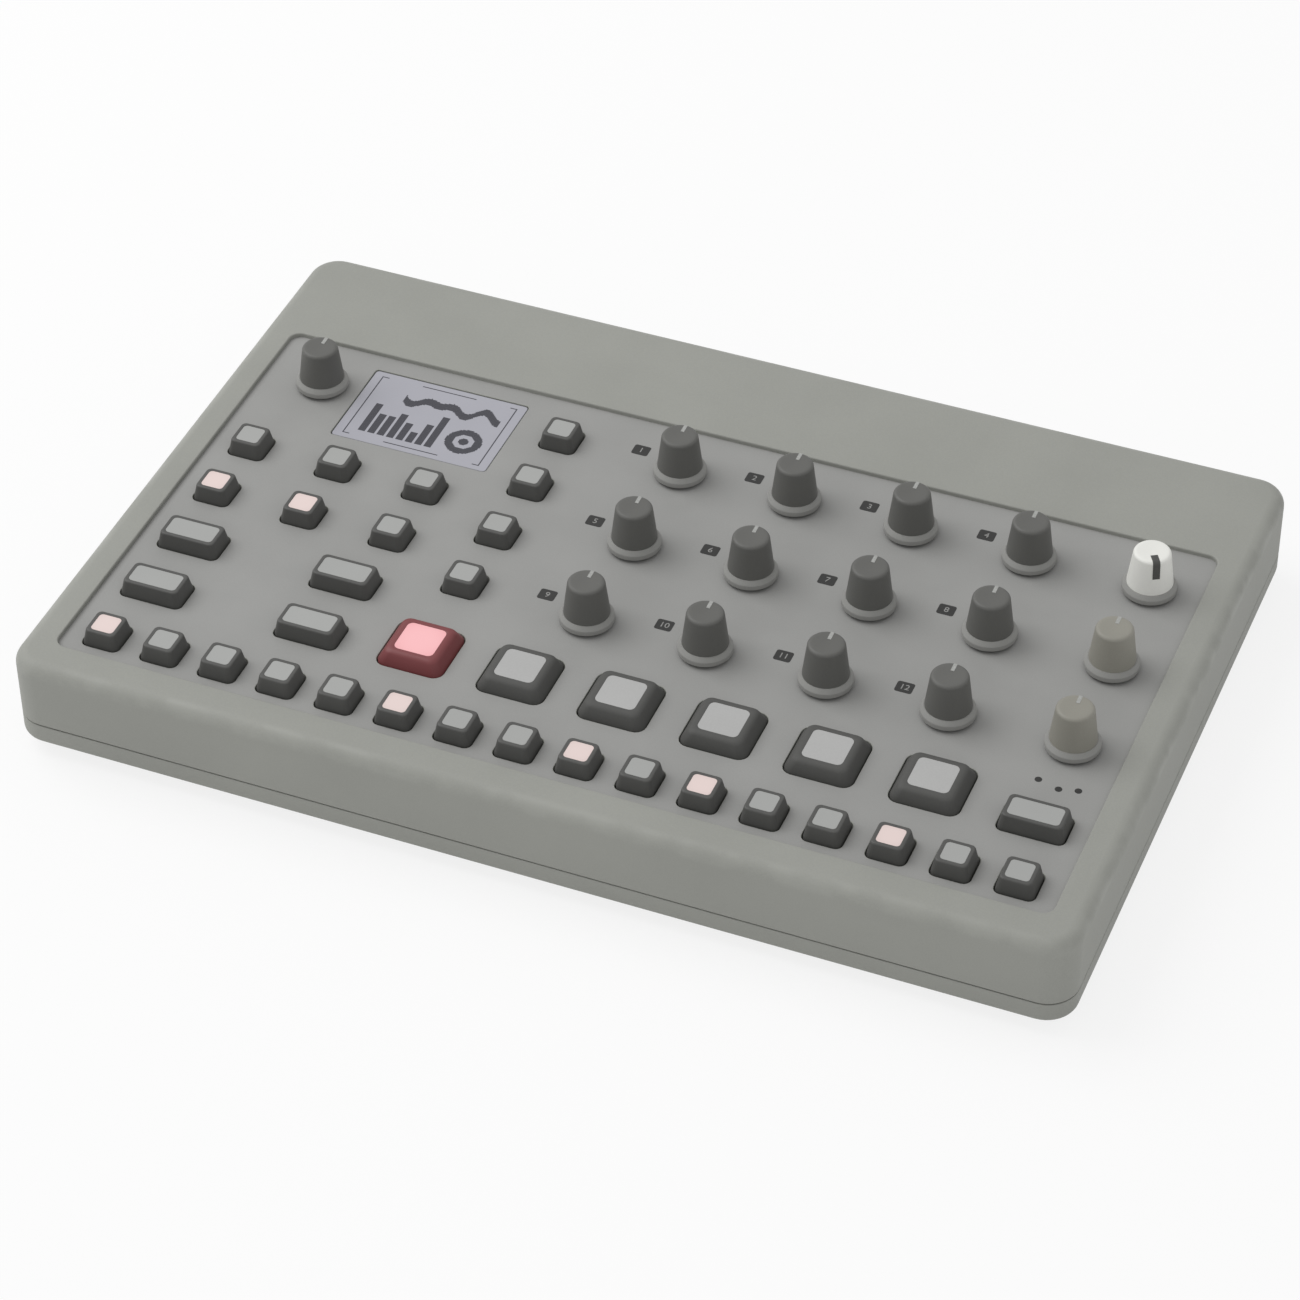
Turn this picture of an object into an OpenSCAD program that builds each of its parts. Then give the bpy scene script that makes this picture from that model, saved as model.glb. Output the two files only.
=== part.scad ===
// Desktop drum machine: keys, pads and knobs in a recessed panel, over a two-part case.
// Millimetres. Origin at the middle of the footprint, on the surface it stands on.
// +X to the right, +Y to the back, +Z up.

/* [Case] */
// Width of the case, side to side
case_w = 270; // [264:1:290]
// Depth of the case, front to back
case_d = 180; // [176:1:196]
// Height of the case without its feet
case_h = 24.5; // [24:0.5:30]
// Radius of the case's corners seen from above
corner_r = 8; // [7:0.5:11]
// Radius along the top edge of the case
top_edge_r = 3.5; // [1:0.5:5]
// Radius along the bottom edge of the case
bottom_edge_r = 1.5; // [0.5:0.5:2]
// Thickness of the side walls
wall = 2.5; // [2.3:0.1:3]
// Thickness of the tray's floor
floor_t = 2.5; // [2.2:0.1:3]
// Height of the bottom tray, up to the seam
tray_h = 6; // [5.5:0.5:7]
// Height of the tray's lip inside the top case
lip_h = 1.6; // [1:0.2:2]
// Height of the ribs on the tray's floor
rib_h = 1.6; // [1:0.2:2]
// Thickness of those ribs
rib_t = 1.2; // [0.8:0.2:1.6]
// Thickness of the top case's skin outside that lip
skin_t = 1.2; // [1:0.1:1.4]
// Open line between tray and top case
seam_gap = 0.3; // [0.2:0.1:0.5]

/* [Panel] */
// Width of the raised border left and right of the panel
border_side = 8.5; // [7:0.5:10]
// Width of the raised border in front of the panel
border_front = 10; // [9:0.5:12]
// Depth of the raised strip behind the panel
border_back = 35.5; // [35:0.5:38]
// Depth of the panel below the border
recess = 1.2; // [0.6:0.2:2]
// Corner radius of the panel
panel_r = 3; // [1:0.5:5]
// Thickness of the panel
panel_t = 2.5; // [2:0.1:3]

/* [Keys] */
// Side of a small key at the panel
key_size = 9.4; // [8.8:0.2:10.8]
// Width of a wide key at the panel
wide_w = 16.2; // [14.4:0.2:20]
// Height of a key above the panel
key_rise = 4; // [2.6:0.2:5]
// How far each side of a key leans in
key_draft = 0.7; // [0.2:0.1:1]
// Corner radius of a key
key_r = 1.5; // [0.8:0.1:2]
// Chamfer around the top of a key
key_chamfer = 0.5; // [0.2:0.1:0.8]
// Gap between a key or pad and its opening
key_gap = 0.35; // [0.3:0.05:0.5]
// Travel of a key or pad
key_travel = 1; // [0.6:0.1:1.2]
// Thickness of a key's top and sides
key_skin = 1.2; // [0.8:0.1:1.4]
// Thickness of the flange that holds a key under the panel
flange_t = 1; // [0.8:0.1:1.4]
// How far the flange reaches under the panel
flange_lap = 0.6; // [0.4:0.1:0.9]
// Radius of a key's stem
stem_r = 2; // [1.8:0.1:2.2]
// From the panel's side walls to the outer keys' centres
key_inset_x = 10.25; // [9:0.25:12]
// From the panel's front wall to the step keys' centres
key_inset_y = 8.4; // [8:0.2:10]
// From the display's window to the menu keys in front of it
menu_gap = 7.5; // [6:0.25:9]
// Distance between columns of small keys
column_pitch = 24.25; // [23.25:0.25:25]
// From the panel's back wall to the first select key's centre
select_inset = 15.3; // [14:0.1:18]
// From the last select key to the pads in front of it
select_pad_gap = 13; // [10:0.5:16]

/* [Pads] */
// Width of a pad at the panel
pad_w = 17; // [16:0.2:19.4]
// Depth of a pad at the panel
pad_d = 16.8; // [14:0.2:17.6]
// Height of a pad above the panel
pad_rise = 3.2; // [2.8:0.2:6]
// How far each side of a pad leans in
pad_draft = 1.2; // [0.4:0.1:1.4]
// Chamfer around the top of a pad
pad_chamfer = 1.2; // [0.4:0.1:1.4]
// Corner radius of a pad
pad_r = 2.4; // [1.4:0.1:3]
// Radius of a pad's stem
pad_stem_r = 3.8; // [3.6:0.1:4.2]

/* [Knobs] */
// Radius of a knob at its skirt
knob_r = 6.8; // [5.8:0.1:7.4]
// Radius of a knob at its top
knob_top_r = 4.7; // [4.4:0.1:5]
// Radius around a knob's top edge
knob_edge_r = 0.8; // [0.4:0.1:1.2]
// Height of a knob's skirt
skirt_h = 1.6; // [1:0.2:2.4]
// Height of a knob
knob_h = 11.9; // [10.5:0.1:14]
// Gap between a knob and the panel
knob_gap = 0.8; // [0.5:0.1:1.2]
// Radius of a pot's shaft
shaft_r = 3; // [2.6:0.1:3.1]
// From a shaft's axis to its flat
shaft_flat = 1.5; // [1.2:0.1:2]
// Length of shaft inside a knob
shaft_grip = 8; // [6:0.5:8.5]
// From the panel's right wall to the last column of knobs
knob_inset_x = 13; // [11.3:0.1:13.8]
// From the panel's back wall to the first row of knobs
knob_inset_y = 17.1; // [15:0.1:17.4]
// From the select keys to the first column of knobs
knob_select_gap = 21.8; // [19:0.2:24]
// From the last row of knobs to the pads in front of it
knob_pad_gap = 9.2; // [8:0.2:13]
// From the panel's left wall to the level knob
level_inset_x = 16.3; // [14:0.1:16.5]

/* [Display] */
// Width of the display's window
window_w = 43.5; // [38:0.5:44.5]
// Depth of the display's window
window_d = 29; // [26:0.5:29.5]
// From the panel's left wall to the window's centre
window_inset_x = 48.2; // [47.5:0.1:49]
// From the panel's back wall to the window's centre
window_inset_y = 20; // [19:0.1:20.5]
// How far the window lies below the panel's face
window_drop = 0.2; // [0.1:0.1:0.5]
// Width of the ledge around the window
window_ledge = 1.5; // [1:0.1:1.8]
// Thickness of the window's ledge
ledge_t = 1; // [0.8:0.1:1.2]
// Thickness of the display's glass
lcd_t = 1.8; // [1.4:0.1:2.2]
// Thickness of the display's backlight
backlight_t = 2; // [1.4:0.1:2.4]

/* [Circuit boards] */
// Thickness of a circuit board
board_t = 1.6; // [1.2:0.1:2]
// Depth of the space between the panel and the control board
board_drop = 8.2; // [8:0.1:9]
// Space between the control board and the case's side walls
board_side = 10; // [9.6:0.1:11]
// Height of a key switch
switch_h = 3.4; // [3.2:0.1:3.6]
// Side of a key switch
switch_side = 6.2; // [5.6:0.1:6.4]
// Radius of a key switch's plunger
plunger_r = 1.75; // [1.4:0.05:1.8]
// Side of a pad sensor
sensor_side = 12; // [11:0.1:12.4]
// Radius of a pad sensor's plunger
sensor_plunger_r = 3.5; // [3:0.1:3.6]
// Width of a pot's body
pot_w = 10; // [9:0.1:10.4]
// Depth of a pot's body
pot_d = 11; // [10:0.1:12]
// Height of a pot's body
pot_h = 5; // [4.6:0.1:5.4]
// Height of the neck on a pot
pot_neck_h = 1.4; // [1:0.1:1.6]

/* [Sockets] */
// Radius of a phone socket's bore, for a 6.35 mm plug
phone_bore_r = 3.25; // [3.2:0.01:3.3]
// Radius of a phone socket's nose
phone_nose_r = 4.8; // [4.4:0.1:5.2]
// Width of a phone socket
phone_w = 16; // [14:0.5:17]
// Height of a phone socket
phone_h = 12.2; // [11.6:0.1:12.6]
// Depth of a phone socket, behind the wall
phone_d = 23; // [21:0.5:23.5]
// Radius of a MIDI socket's bore, for a 3.5 mm plug
mini_bore_r = 1.85; // [1.8:0.01:1.9]
// Radius of a MIDI socket's nose
mini_nose_r = 3; // [2.8:0.1:3.2]
// Side of a MIDI socket
mini_side = 7; // [6.6:0.1:7.6]
// Depth of a MIDI socket, behind the wall
mini_d = 13; // [11:0.5:15]
// Radius of the power inlet's bore
power_bore_r = 3.1; // [2.9:0.1:3.3]
// Radius of the power inlet's centre pin
power_pin_r = 1; // [0.8:0.05:1.3]
// Width of the power inlet
power_w = 9; // [8.4:0.1:9.6]
// Height of the power inlet
power_h = 11; // [10.5:0.1:11.5]
// Depth of the power inlet, behind the wall
power_d = 12; // [11:0.5:13]
// Width of the USB socket
usb_w = 9; // [8.6:0.1:9.6]
// Height of the USB socket
usb_h = 3.2; // [3:0.1:3.4]
// Depth of the USB socket, behind the wall
usb_d = 7; // [6:0.5:8]
// From the case's middle to the headphone socket
headphone_x = 102; // [98:1:104]
// From the case's middle to the right line socket
line_right_x = 66; // [64:1:72]
// Distance between the two line sockets
line_pitch = 24; // [20:1:26]
// From the case's middle to the MIDI out socket
midi_x = -34; // [-40:1:-30]
// Distance between the two MIDI sockets
midi_pitch = 20; // [14:1:22]
// From the case's middle to the USB socket
usb_x = -76; // [-78:1:-72]
// From the case's middle to the power inlet
power_x = -100; // [-104:1:-96]
// Width of the ribbon cable between the two boards
ribbon_w = 18; // [12:1:20]
// Thickness of the ribbon cable
ribbon_t = 0.6; // [0.4:0.1:0.9]

/* [Feet and screws] */
// Height of a foot below the case
foot_h = 4; // [3:0.5:6]
// Radius of a foot
foot_r = 7; // [5:0.5:8]
// From the case's sides to the feet's centres
foot_inset = 18; // [17:0.5:22]
// Depth of a foot's seat in the tray
foot_seat = 0.6; // [0.4:0.1:1]
// Radius of a screw's shank
screw_r = 1.5; // [1.2:0.1:1.5]
// Radius of a screw's head
screw_head_r = 2.7; // [2.4:0.1:2.8]
// Height of a screw's head
screw_head_h = 1.8; // [1.4:0.1:2.2]
// Length of a screw's shank
screw_l = 8; // [7:0.5:8.5]
// Radius of the bosses that take the case's screws
boss_r = 3.8; // [3.6:0.1:4]
// From the case's sides to the corner screws
boss_inset = 8; // [7.6:0.1:8.2]
// From the case's middle to the two screws between the boards
boss_x = 45; // [20:1:60]
// Radius of the pillars that carry the control board
pillar_r = 2.6; // [2.4:0.1:2.8]

/* [Hidden] */
step_keys = 16;
menu_keys = 6;
menu_columns = 3;
select_keys = 4;
transport_keys = 4;
pads = 6;
knob_columns = 4;
knob_rows = 3;
param_knobs = knob_columns * knob_rows;
send_knobs = 2;

$fn = 48;
// Gap left where two pieces of one group stand on each other
seat = 0.05;
// Clearance of a piece that is fitted into another and stays there
fit = 0.15;
// Clearance around a piece that moves
run = 0.3;
// How far a cutting shape runs past what it cuts
over = 1;
// How far joined shapes run into each other
bite = 0.2;
// Corner radius of small plates and of the display's window
plate_r = 1;

case_colour = "#9c9d97";
key_colour = "#4a4a49";
pad_colour = "#a3a4a3";
knob_colour = "#4e4e4c";
send_colour = "#76746b";
volume_colour = "#dcdcd6";
rubber_colour = "#2b2b2b";
board_colour = "#2f5d43";
window_colour = "#a8a8b4";
steel_colour = "#8f9294";

// Heights
floor_top = foot_h + floor_t;
seam_z = foot_h + tray_h;
case_top = foot_h + case_h;
panel_top = case_top - recess;
panel_under = panel_top - panel_t;
board_top = panel_under - board_drop;
board_under = board_top - board_t;
switch_top = board_top + seat + switch_h;
plunger_top = switch_top + key_travel + run;
switch_floor = 0.6;
plunger_bottom = board_top + seat + switch_floor + key_travel + run;
flange_top = panel_under - run;
knob_base = panel_top + knob_gap;
pot_floor = 1;
pot_neck_wall = 0.9;
pilot_spare = 0.5;
knob_turn = 150;
connector_top = seam_z + lip_h + fit;
connector_under = connector_top - board_t;

// Panel
panel_w = case_w - 2 * border_side;
panel_d = case_d - border_front - border_back;
panel_left = -panel_w / 2;
panel_right = panel_w / 2;
panel_front = border_front - case_d / 2;
panel_back = case_d / 2 - border_back;
panel_y = (panel_front + panel_back) / 2;

// Places of keys, pads and knobs
window_place = [panel_left + window_inset_x, panel_back - window_inset_y];
step_pitch = (panel_w - 2 * key_inset_x) / (step_keys - 1);
step_y = panel_front + key_inset_y;
menu_y = window_place.y - window_d / 2 - menu_gap - key_size / 2;
menu_row = 4;
row_pitch = (menu_y - step_y) / menu_row;
right_x = panel_right - knob_inset_x;
pad_pitch = (right_x - column_x(menu_columns)) / pads;
pad_y = row_y(1) - key_size / 2 + pad_d / 2;
pad_back = pad_y + pad_d / 2;
select_y = panel_back - select_inset;
select_pitch = (select_y - pad_back - select_pad_gap - key_size / 2) / (select_keys - 1);
first_knob_x = column_x(menu_columns) + key_size / 2 + knob_select_gap + knob_r;
first_knob_y = panel_back - knob_inset_y;
knob_pitch_x = (right_x - first_knob_x) / knob_columns;
knob_pitch_y = (first_knob_y - pad_back - knob_pad_gap - knob_r) / (knob_rows - 1);
function row_y(n) = step_y + n * row_pitch;
function column_x(n) = panel_left + key_inset_x + n * column_pitch;
function knob_x(n) = first_knob_x + n * knob_pitch_x;
function knob_y(n) = first_knob_y - n * knob_pitch_y;
function middle(a, b) = (a + b) / 2;

step_places = [for (i = [0:step_keys - 1]) [column_x(0) + i * step_pitch, row_y(0)]];
menu_places = [
    for (i = [0:menu_keys - 1]) [column_x(i % menu_columns), row_y(menu_row - floor(i / menu_columns))]
];
select_places = [
    for (i = [0:select_keys - 1]) [column_x(menu_columns), select_y - i * select_pitch]
];
wide_left_x = column_x(0) - key_size / 2 + wide_w / 2;
wide_mid_x = column_x(menu_columns - 1) + key_size / 2 - wide_w / 2;
transport_places = [
    for (row = [2, 1], x = [wide_left_x, wide_mid_x]) [x, row_y(row)]
];
roll_place = [right_x, row_y(1)];
pad_places = [for (i = [0:pads - 1]) [column_x(menu_columns) + i * pad_pitch, pad_y]];
param_places = [
    for (row = [0:knob_rows - 1], column = [0:knob_columns - 1]) [knob_x(column), knob_y(row)]
];
volume_place = [right_x, knob_y(0)];
send_places = [for (row = [1:send_knobs]) [right_x, knob_y(row)]];
level_place = [panel_left + level_inset_x, knob_y(0)];

small_key_places = concat(step_places, menu_places, select_places);
wide_key_places = concat(transport_places, [roll_place]);
knob_places = concat(param_places, send_places, [volume_place, level_place]);

// Control board: where it ends and where pillars hold it
board_w = case_w - 2 * wall - 2 * board_side;
board_edge = 2;
board_front = wall + board_edge - case_d / 2;
board_back = panel_back - board_edge;
board_d = board_back - board_front;
board_y = middle(board_front, board_back);
behind_steps_y = step_y + key_size / 2 + key_gap + flange_lap + run + pillar_r;
pillar_places = [
    [middle(column_x(0), column_x(1)), middle(menu_y, row_y(menu_row - 1))],
    [middle(column_x(2), column_x(3)), middle(menu_y, row_y(menu_row - 1))],
    [middle(wide_left_x, wide_mid_x), behind_steps_y],
    [middle(pad_places[2].x, pad_places[3].x), behind_steps_y],
    [middle(pad_places[5].x, right_x), behind_steps_y],
    [middle(knob_x(0), knob_x(1)), middle(knob_y(1), knob_y(2))],
    [middle(knob_x(1), knob_x(2)), middle(knob_y(0), knob_y(1))],
    [middle(knob_x(3), knob_x(4)), middle(knob_y(0), knob_y(1))]
];

// Connector board and sockets, behind the rear wall
rear_y = case_d / 2;
socket_y = rear_y - wall - fit;
connector_d = phone_d + fit;
connector_front = socket_y - connector_d;
phone_z = connector_top + seat + phone_h / 2;
mini_z = connector_top + seat + mini_side / 2;
power_z = connector_top + seat + power_h / 2;
usb_z = connector_top + seat + usb_h / 2;
phone_xs = [headphone_x, line_right_x, line_right_x - line_pitch];
midi_xs = [midi_x, midi_x - midi_pitch];
nose_inset = 0.3;
socket_wall = 0.6;
socket_back = 1;
power_back = 2;
connector_margin = 4;
connector_left = power_x - power_w / 2 - connector_margin;
connector_right = headphone_x + phone_w / 2 + connector_margin;
connector_x = middle(connector_left, connector_right);
connector_w = connector_right - connector_left;
peg_r = 1.4;
peg_base_r = 2.6;
peg_proud = 0.8;
peg_xs = [
    middle(power_x, usb_x), middle(usb_x, midi_xs[1]),
    middle(midi_x, phone_xs[2]), middle(line_right_x, headphone_x)
];
peg_places = [for (x = peg_xs) [x, connector_front + peg_base_r + fit]];

// Ribbon cable between a header under the control board and one on the connector board
header_w = ribbon_w + 2;
header_d = 5;
header_h = 3;
header_inset = 4;
ribbon_x = middle(midi_x, peg_xs[2]);
ribbon_start = [board_back - header_inset + header_d / 2 + seat, board_under - seat - header_h / 2];
ribbon_end = [connector_front + header_inset - header_d / 2 - seat, connector_top + seat + header_h / 2];

// Case screws: one in each corner and two between the boards
boss_y = middle(board_back, connector_front);
corner_x = case_w / 2 - boss_inset;
corner_y = case_d / 2 - boss_inset;
case_screw_places = concat(
    [for (x = [-corner_x, corner_x], y = [-corner_y, corner_y]) [x, y]],
    [for (x = [-boss_x, boss_x]) [x, boss_y]]
);
head_seat_rise = 0.5;
head_seat_z = floor_top + head_seat_rise;
rib_count = 5;
foot_places = [
    for (x = [foot_inset - case_w / 2, case_w / 2 - foot_inset],
         y = [foot_inset - case_d / 2, case_d / 2 - foot_inset]) [x, y]
];

// ---------- shapes ----------

// Rectangle with rounded corners
module rounded_rect(w, d, r) {
    square([w - 2 * r, d], center = true);
    square([w, d - 2 * r], center = true);
    for (x = [r - w / 2, w / 2 - r], y = [r - d / 2, d / 2 - r])
        translate([x, y]) circle(r);
}

// Plate with rounded corners, standing on z = 0
module plate(w, d, h, r) {
    linear_extrude(h) rounded_rect(w, d, r);
}

// Section across a slab whose two top edges are rounded to e
module slab_section(w, h, e) {
    translate([-w / 2, 0]) square([w, h - e]);
    translate([e - w / 2, 0]) square([w - 2 * e, h]);
    for (x = [e - w / 2, w / 2 - e])
        translate([x, h - e]) circle(e);
}

// Section of one corner of that slab, out from the corner's own axis
module corner_section(r, h, e) {
    square([r, h - e]);
    square([r - e, h]);
    translate([r - e, h - e]) intersection() {
        circle(e);
        square(e);
    }
}

// Slab with corners rounded to r and its top edge rounded to e
module soft_slab(w, d, h, r, e) {
    rotate([90, 0, 0]) linear_extrude(d - 2 * r, center = true) slab_section(w, h, e);
    rotate([90, 0, 90]) linear_extrude(w - 2 * r, center = true) slab_section(d, h, e);
    for (k = [0:3], w2 = [k % 2 == 0 ? w : d], d2 = [k % 2 == 0 ? d : w])
        rotate(90 * k) translate([w2 / 2 - r, d2 / 2 - r, 0])
            rotate_extrude(angle = 90) corner_section(r, h, e);
}

// Copies of a shape at a list of places
module at_each(places) {
    for (p = places) translate([p.x, p.y, 0]) children();
}

// Section of a key or pad: straight below the panel, leaning in above it
module key_section(w, rise, draft, chamfer) {
    top = w / 2 - draft;
    polygon([
        [-w / 2, flange_top - flange_t - panel_top], [w / 2, flange_top - flange_t - panel_top],
        [w / 2, 0], [top, rise - chamfer], [top - chamfer, rise],
        [chamfer - top, rise], [-top, rise - chamfer], [-w / 2, 0]
    ]);
}

// Key or pad: a hollow cap with a flange under the panel, its stem, and the plunger below it
module key(w, d, rise, draft, chamfer, r, stem, plunger, colour) {
    flange_bottom = flange_top - flange_t;
    hollow_top = panel_top + rise - key_skin;
    color(colour) {
        difference() {
            union() {
                intersection() {
                    translate([0, 0, flange_bottom]) plate(w, d, panel_top + rise - flange_bottom, r);
                    translate([0, 0, panel_top]) rotate([90, 0, 0])
                        linear_extrude(d + over, center = true) key_section(w, rise, draft, chamfer);
                    translate([0, 0, panel_top]) rotate([90, 0, 90])
                        linear_extrude(w + over, center = true) key_section(d, rise, draft, chamfer);
                }
                translate([0, 0, flange_bottom])
                    plate(w + 2 * (flange_lap + key_gap), d + 2 * (flange_lap + key_gap), flange_t, r);
            }
            translate([0, 0, flange_bottom - over])
                plate(w - 2 * (draft + key_skin), d - 2 * (draft + key_skin),
                    hollow_top - flange_bottom + over, r / 2);
        }
        translate([0, 0, plunger_top + seat])
            cylinder(r = stem, h = hollow_top + bite - plunger_top - seat);
    }
    color(pad_colour) translate([0, 0, plunger_bottom])
        cylinder(r = plunger, h = plunger_top - plunger_bottom);
}

module small_key(place) {
    translate([place.x, place.y, 0])
        key(key_size, key_size, key_rise, key_draft, key_chamfer, key_r, stem_r, plunger_r, key_colour);
}

module wide_key(place) {
    translate([place.x, place.y, 0])
        key(wide_w, key_size, key_rise, key_draft, key_chamfer, key_r, stem_r, plunger_r, key_colour);
}

module pad(place) {
    translate([place.x, place.y, 0])
        key(pad_w, pad_d, pad_rise, pad_draft, pad_chamfer, pad_r, pad_stem_r, sensor_plunger_r,
            key_colour);
}

// Outline of a knob, out from its axis
module knob_section() {
    waist = skirt_h + (knob_r - knob_top_r) / 2;
    polygon([
        [0, 0], [knob_r, 0], [knob_r, skirt_h], [middle(knob_r, knob_top_r), waist],
        [knob_top_r, knob_h - knob_edge_r], [0, knob_h - knob_edge_r]
    ]);
    square([knob_top_r - knob_edge_r, knob_h]);
    translate([knob_top_r - knob_edge_r, knob_h - knob_edge_r]) intersection() {
        circle(knob_edge_r);
        square(knob_edge_r);
    }
}

// Round shaft with a flat at its upper end
module flatted(r, flat, low, high) {
    intersection() {
        translate([0, 0, low]) cylinder(r = r, h = high - low);
        translate([-r - over, -flat, low]) cube([2 * (r + over), r + flat + over, high - low]);
    }
}

// Knob with its pointer groove, turned from pointing back, and the shaft that turns with it
module knob(place, colour, turned = 0) {
    shaft_top = knob_base + shaft_grip;
    groove_w = 0.9;
    groove_t = 0.4;
    rim_t = 1.2;
    rim_h = 1;
    shoulder_z = knob_base + rim_h - fit;
    shaft_bottom = board_top + seat + pot_floor + run;
    translate([place.x, place.y, 0]) rotate(turned) {
        color(colour) difference() {
            translate([0, 0, knob_base]) rotate_extrude() knob_section();
            translate([0, 0, knob_base - over]) cylinder(r = knob_r - rim_t, h = rim_h + over);
            flatted(shaft_r + fit, shaft_flat + fit, knob_base, shaft_top + fit);
            translate([-groove_w / 2, 0, knob_base + knob_h - groove_t])
                cube([groove_w, knob_r, groove_t + over]);
        }
        color(steel_colour) {
            flatted(shaft_r, shaft_flat, shoulder_z - bite, shaft_top);
            translate([0, 0, shaft_bottom]) cylinder(r = shaft_r, h = shoulder_z - shaft_bottom);
        }
    }
}

// ---------- case ----------

module panel_openings() {
    wide = 2 * key_gap;
    at_each(small_key_places) rounded_rect(key_size + wide, key_size + wide, key_r + key_gap);
    at_each(wide_key_places) rounded_rect(wide_w + wide, key_size + wide, key_r + key_gap);
    at_each(pad_places) rounded_rect(pad_w + wide, pad_d + wide, pad_r + key_gap);
    at_each(knob_places) circle(shaft_r + 2 * run);
    at_each([window_place]) rounded_rect(window_w, window_d, plate_r);
}

// Holes through the rear wall, one around each socket's nose
module rear_openings() {
    hole_y = rear_y - wall - over;
    for (x = phone_xs)
        translate([x, hole_y, phone_z]) rotate([-90, 0, 0])
            cylinder(r = phone_nose_r + fit, h = wall + 2 * over);
    for (x = midi_xs)
        translate([x, hole_y, mini_z]) rotate([-90, 0, 0])
            cylinder(r = mini_nose_r + fit, h = wall + 2 * over);
    translate([power_x, hole_y, power_z]) rotate([-90, 0, 0])
        cylinder(r = power_bore_r + socket_wall + fit, h = wall + 2 * over);
    translate([usb_x, hole_y, usb_z]) rotate([-90, 0, 0])
        linear_extrude(wall + 2 * over)
            rounded_rect(usb_w + 2 * fit, usb_h + 2 * fit, usb_h / 2);
}

module top_case() {
    cavity_r = corner_r - wall;
    roof = case_top - wall;
    strip_d = border_back - 2 * wall;
    color(case_colour) difference() {
        union() {
            difference() {
                translate([0, 0, seam_z])
                    soft_slab(case_w, case_d, case_h - tray_h, corner_r, top_edge_r);
                translate([0, 0, seam_z - over])
                    plate(case_w - 2 * wall, case_d - 2 * wall, panel_under - seam_z + over, cavity_r);
                translate([0, rear_y - wall - strip_d / 2, seam_z])
                    plate(case_w - 2 * wall, strip_d, roof - seam_z, cavity_r);
                translate([0, 0, seam_z - over])
                    plate(case_w - 2 * skin_t, case_d - 2 * skin_t, lip_h + fit + over,
                        corner_r - skin_t);
            }
            translate([0, 0, seam_z]) at_each(case_screw_places)
                cylinder(r = boss_r, h = roof - seam_z + bite);
            translate([0, 0, board_top]) at_each(pillar_places)
                cylinder(r = pillar_r, h = board_drop + bite);
        }
        translate([0, panel_y, panel_top]) plate(panel_w, panel_d, recess + over, panel_r);
        translate([0, 0, panel_under - over]) linear_extrude(panel_t + 2 * over) panel_openings();
        rear_openings();
        translate([0, 0, seam_z - over]) at_each(case_screw_places)
            cylinder(r = screw_r + seat, h = head_seat_z + screw_l + pilot_spare - seam_z + over);
        translate([0, 0, board_top - over]) at_each(pillar_places)
            cylinder(r = screw_r + seat, h = screw_l - board_t + pilot_spare + over);
    }
}

// Ribs across the tray's floor
module tray_ribs() {
    inner_w = case_w - 2 * wall;
    inner_d = case_d - 2 * wall;
    rib_z = floor_top - bite;
    for (k = [1:rib_count])
        translate([(k / (rib_count + 1) - 0.5) * inner_w, 0, rib_z + (rib_h + bite) / 2])
            cube([rib_t, inner_d + 2 * bite, rib_h + bite], center = true);
    translate([0, 0, rib_z + (rib_h + bite) / 2])
        cube([inner_w + 2 * bite, rib_t, rib_h + bite], center = true);
}

module bottom_case() {
    head_room_r = screw_head_r + run;
    color(case_colour) difference() {
        union() {
            difference() {
                translate([0, 0, seam_z - seam_gap]) mirror([0, 0, 1])
                    soft_slab(case_w, case_d, tray_h - seam_gap, corner_r, bottom_edge_r);
                translate([0, 0, floor_top])
                    plate(case_w - 2 * wall, case_d - 2 * wall, tray_h, corner_r - wall);
            }
            difference() {
                translate([0, 0, floor_top - bite])
                    plate(case_w - 2 * (skin_t + fit), case_d - 2 * (skin_t + fit),
                        seam_z + lip_h - floor_top + bite, corner_r - skin_t - fit);
                translate([0, 0, floor_top - over])
                    plate(case_w - 2 * wall, case_d - 2 * wall, tray_h + lip_h + over, corner_r - wall);
            }
            tray_ribs();
            translate([0, 0, floor_top - bite]) {
                at_each(case_screw_places) cylinder(r = boss_r, h = seam_z - floor_top + bite);
                at_each(peg_places) {
                    cylinder(r = peg_base_r, h = connector_under - floor_top + bite);
                    cylinder(r = peg_r, h = connector_top - floor_top + 2 * bite + peg_proud);
                }
            }
        }
        translate([0, 0, foot_h - over]) at_each(case_screw_places)
            cylinder(r = head_room_r, h = head_seat_z - foot_h + over);
        translate([0, 0, foot_h]) at_each(case_screw_places)
            cylinder(r = screw_r + fit, h = tray_h + over);
        translate([0, 0, foot_h - over]) at_each(foot_places)
            cylinder(r = foot_r + fit, h = foot_seat + over);
    }
}

module rubber_feet() {
    foot_edge_r = 1;
    top = foot_h + foot_seat - seat;
    color(rubber_colour) at_each(foot_places) rotate_extrude() {
        translate([0, foot_edge_r]) square([foot_r, top - foot_edge_r]);
        square([foot_r - foot_edge_r, top]);
        translate([foot_r - foot_edge_r, foot_edge_r]) intersection() {
            circle(foot_edge_r);
            translate([0, -foot_edge_r]) square(foot_edge_r);
        }
    }
}

// Screw pointing up, the underside of its head at z = 0, with a cross in its head
module screw() {
    cross_l = 3;
    cross_w = 0.8;
    cross_depth = 1;
    difference() {
        union() {
            cylinder(r = screw_r, h = screw_l);
            translate([0, 0, -screw_head_h]) cylinder(r = screw_head_r, h = screw_head_h);
        }
        for (turn = [0, 90])
            rotate(turn) translate([0, 0, -screw_head_h])
                cube([cross_l, cross_w, 2 * cross_depth], center = true);
    }
}

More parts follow.
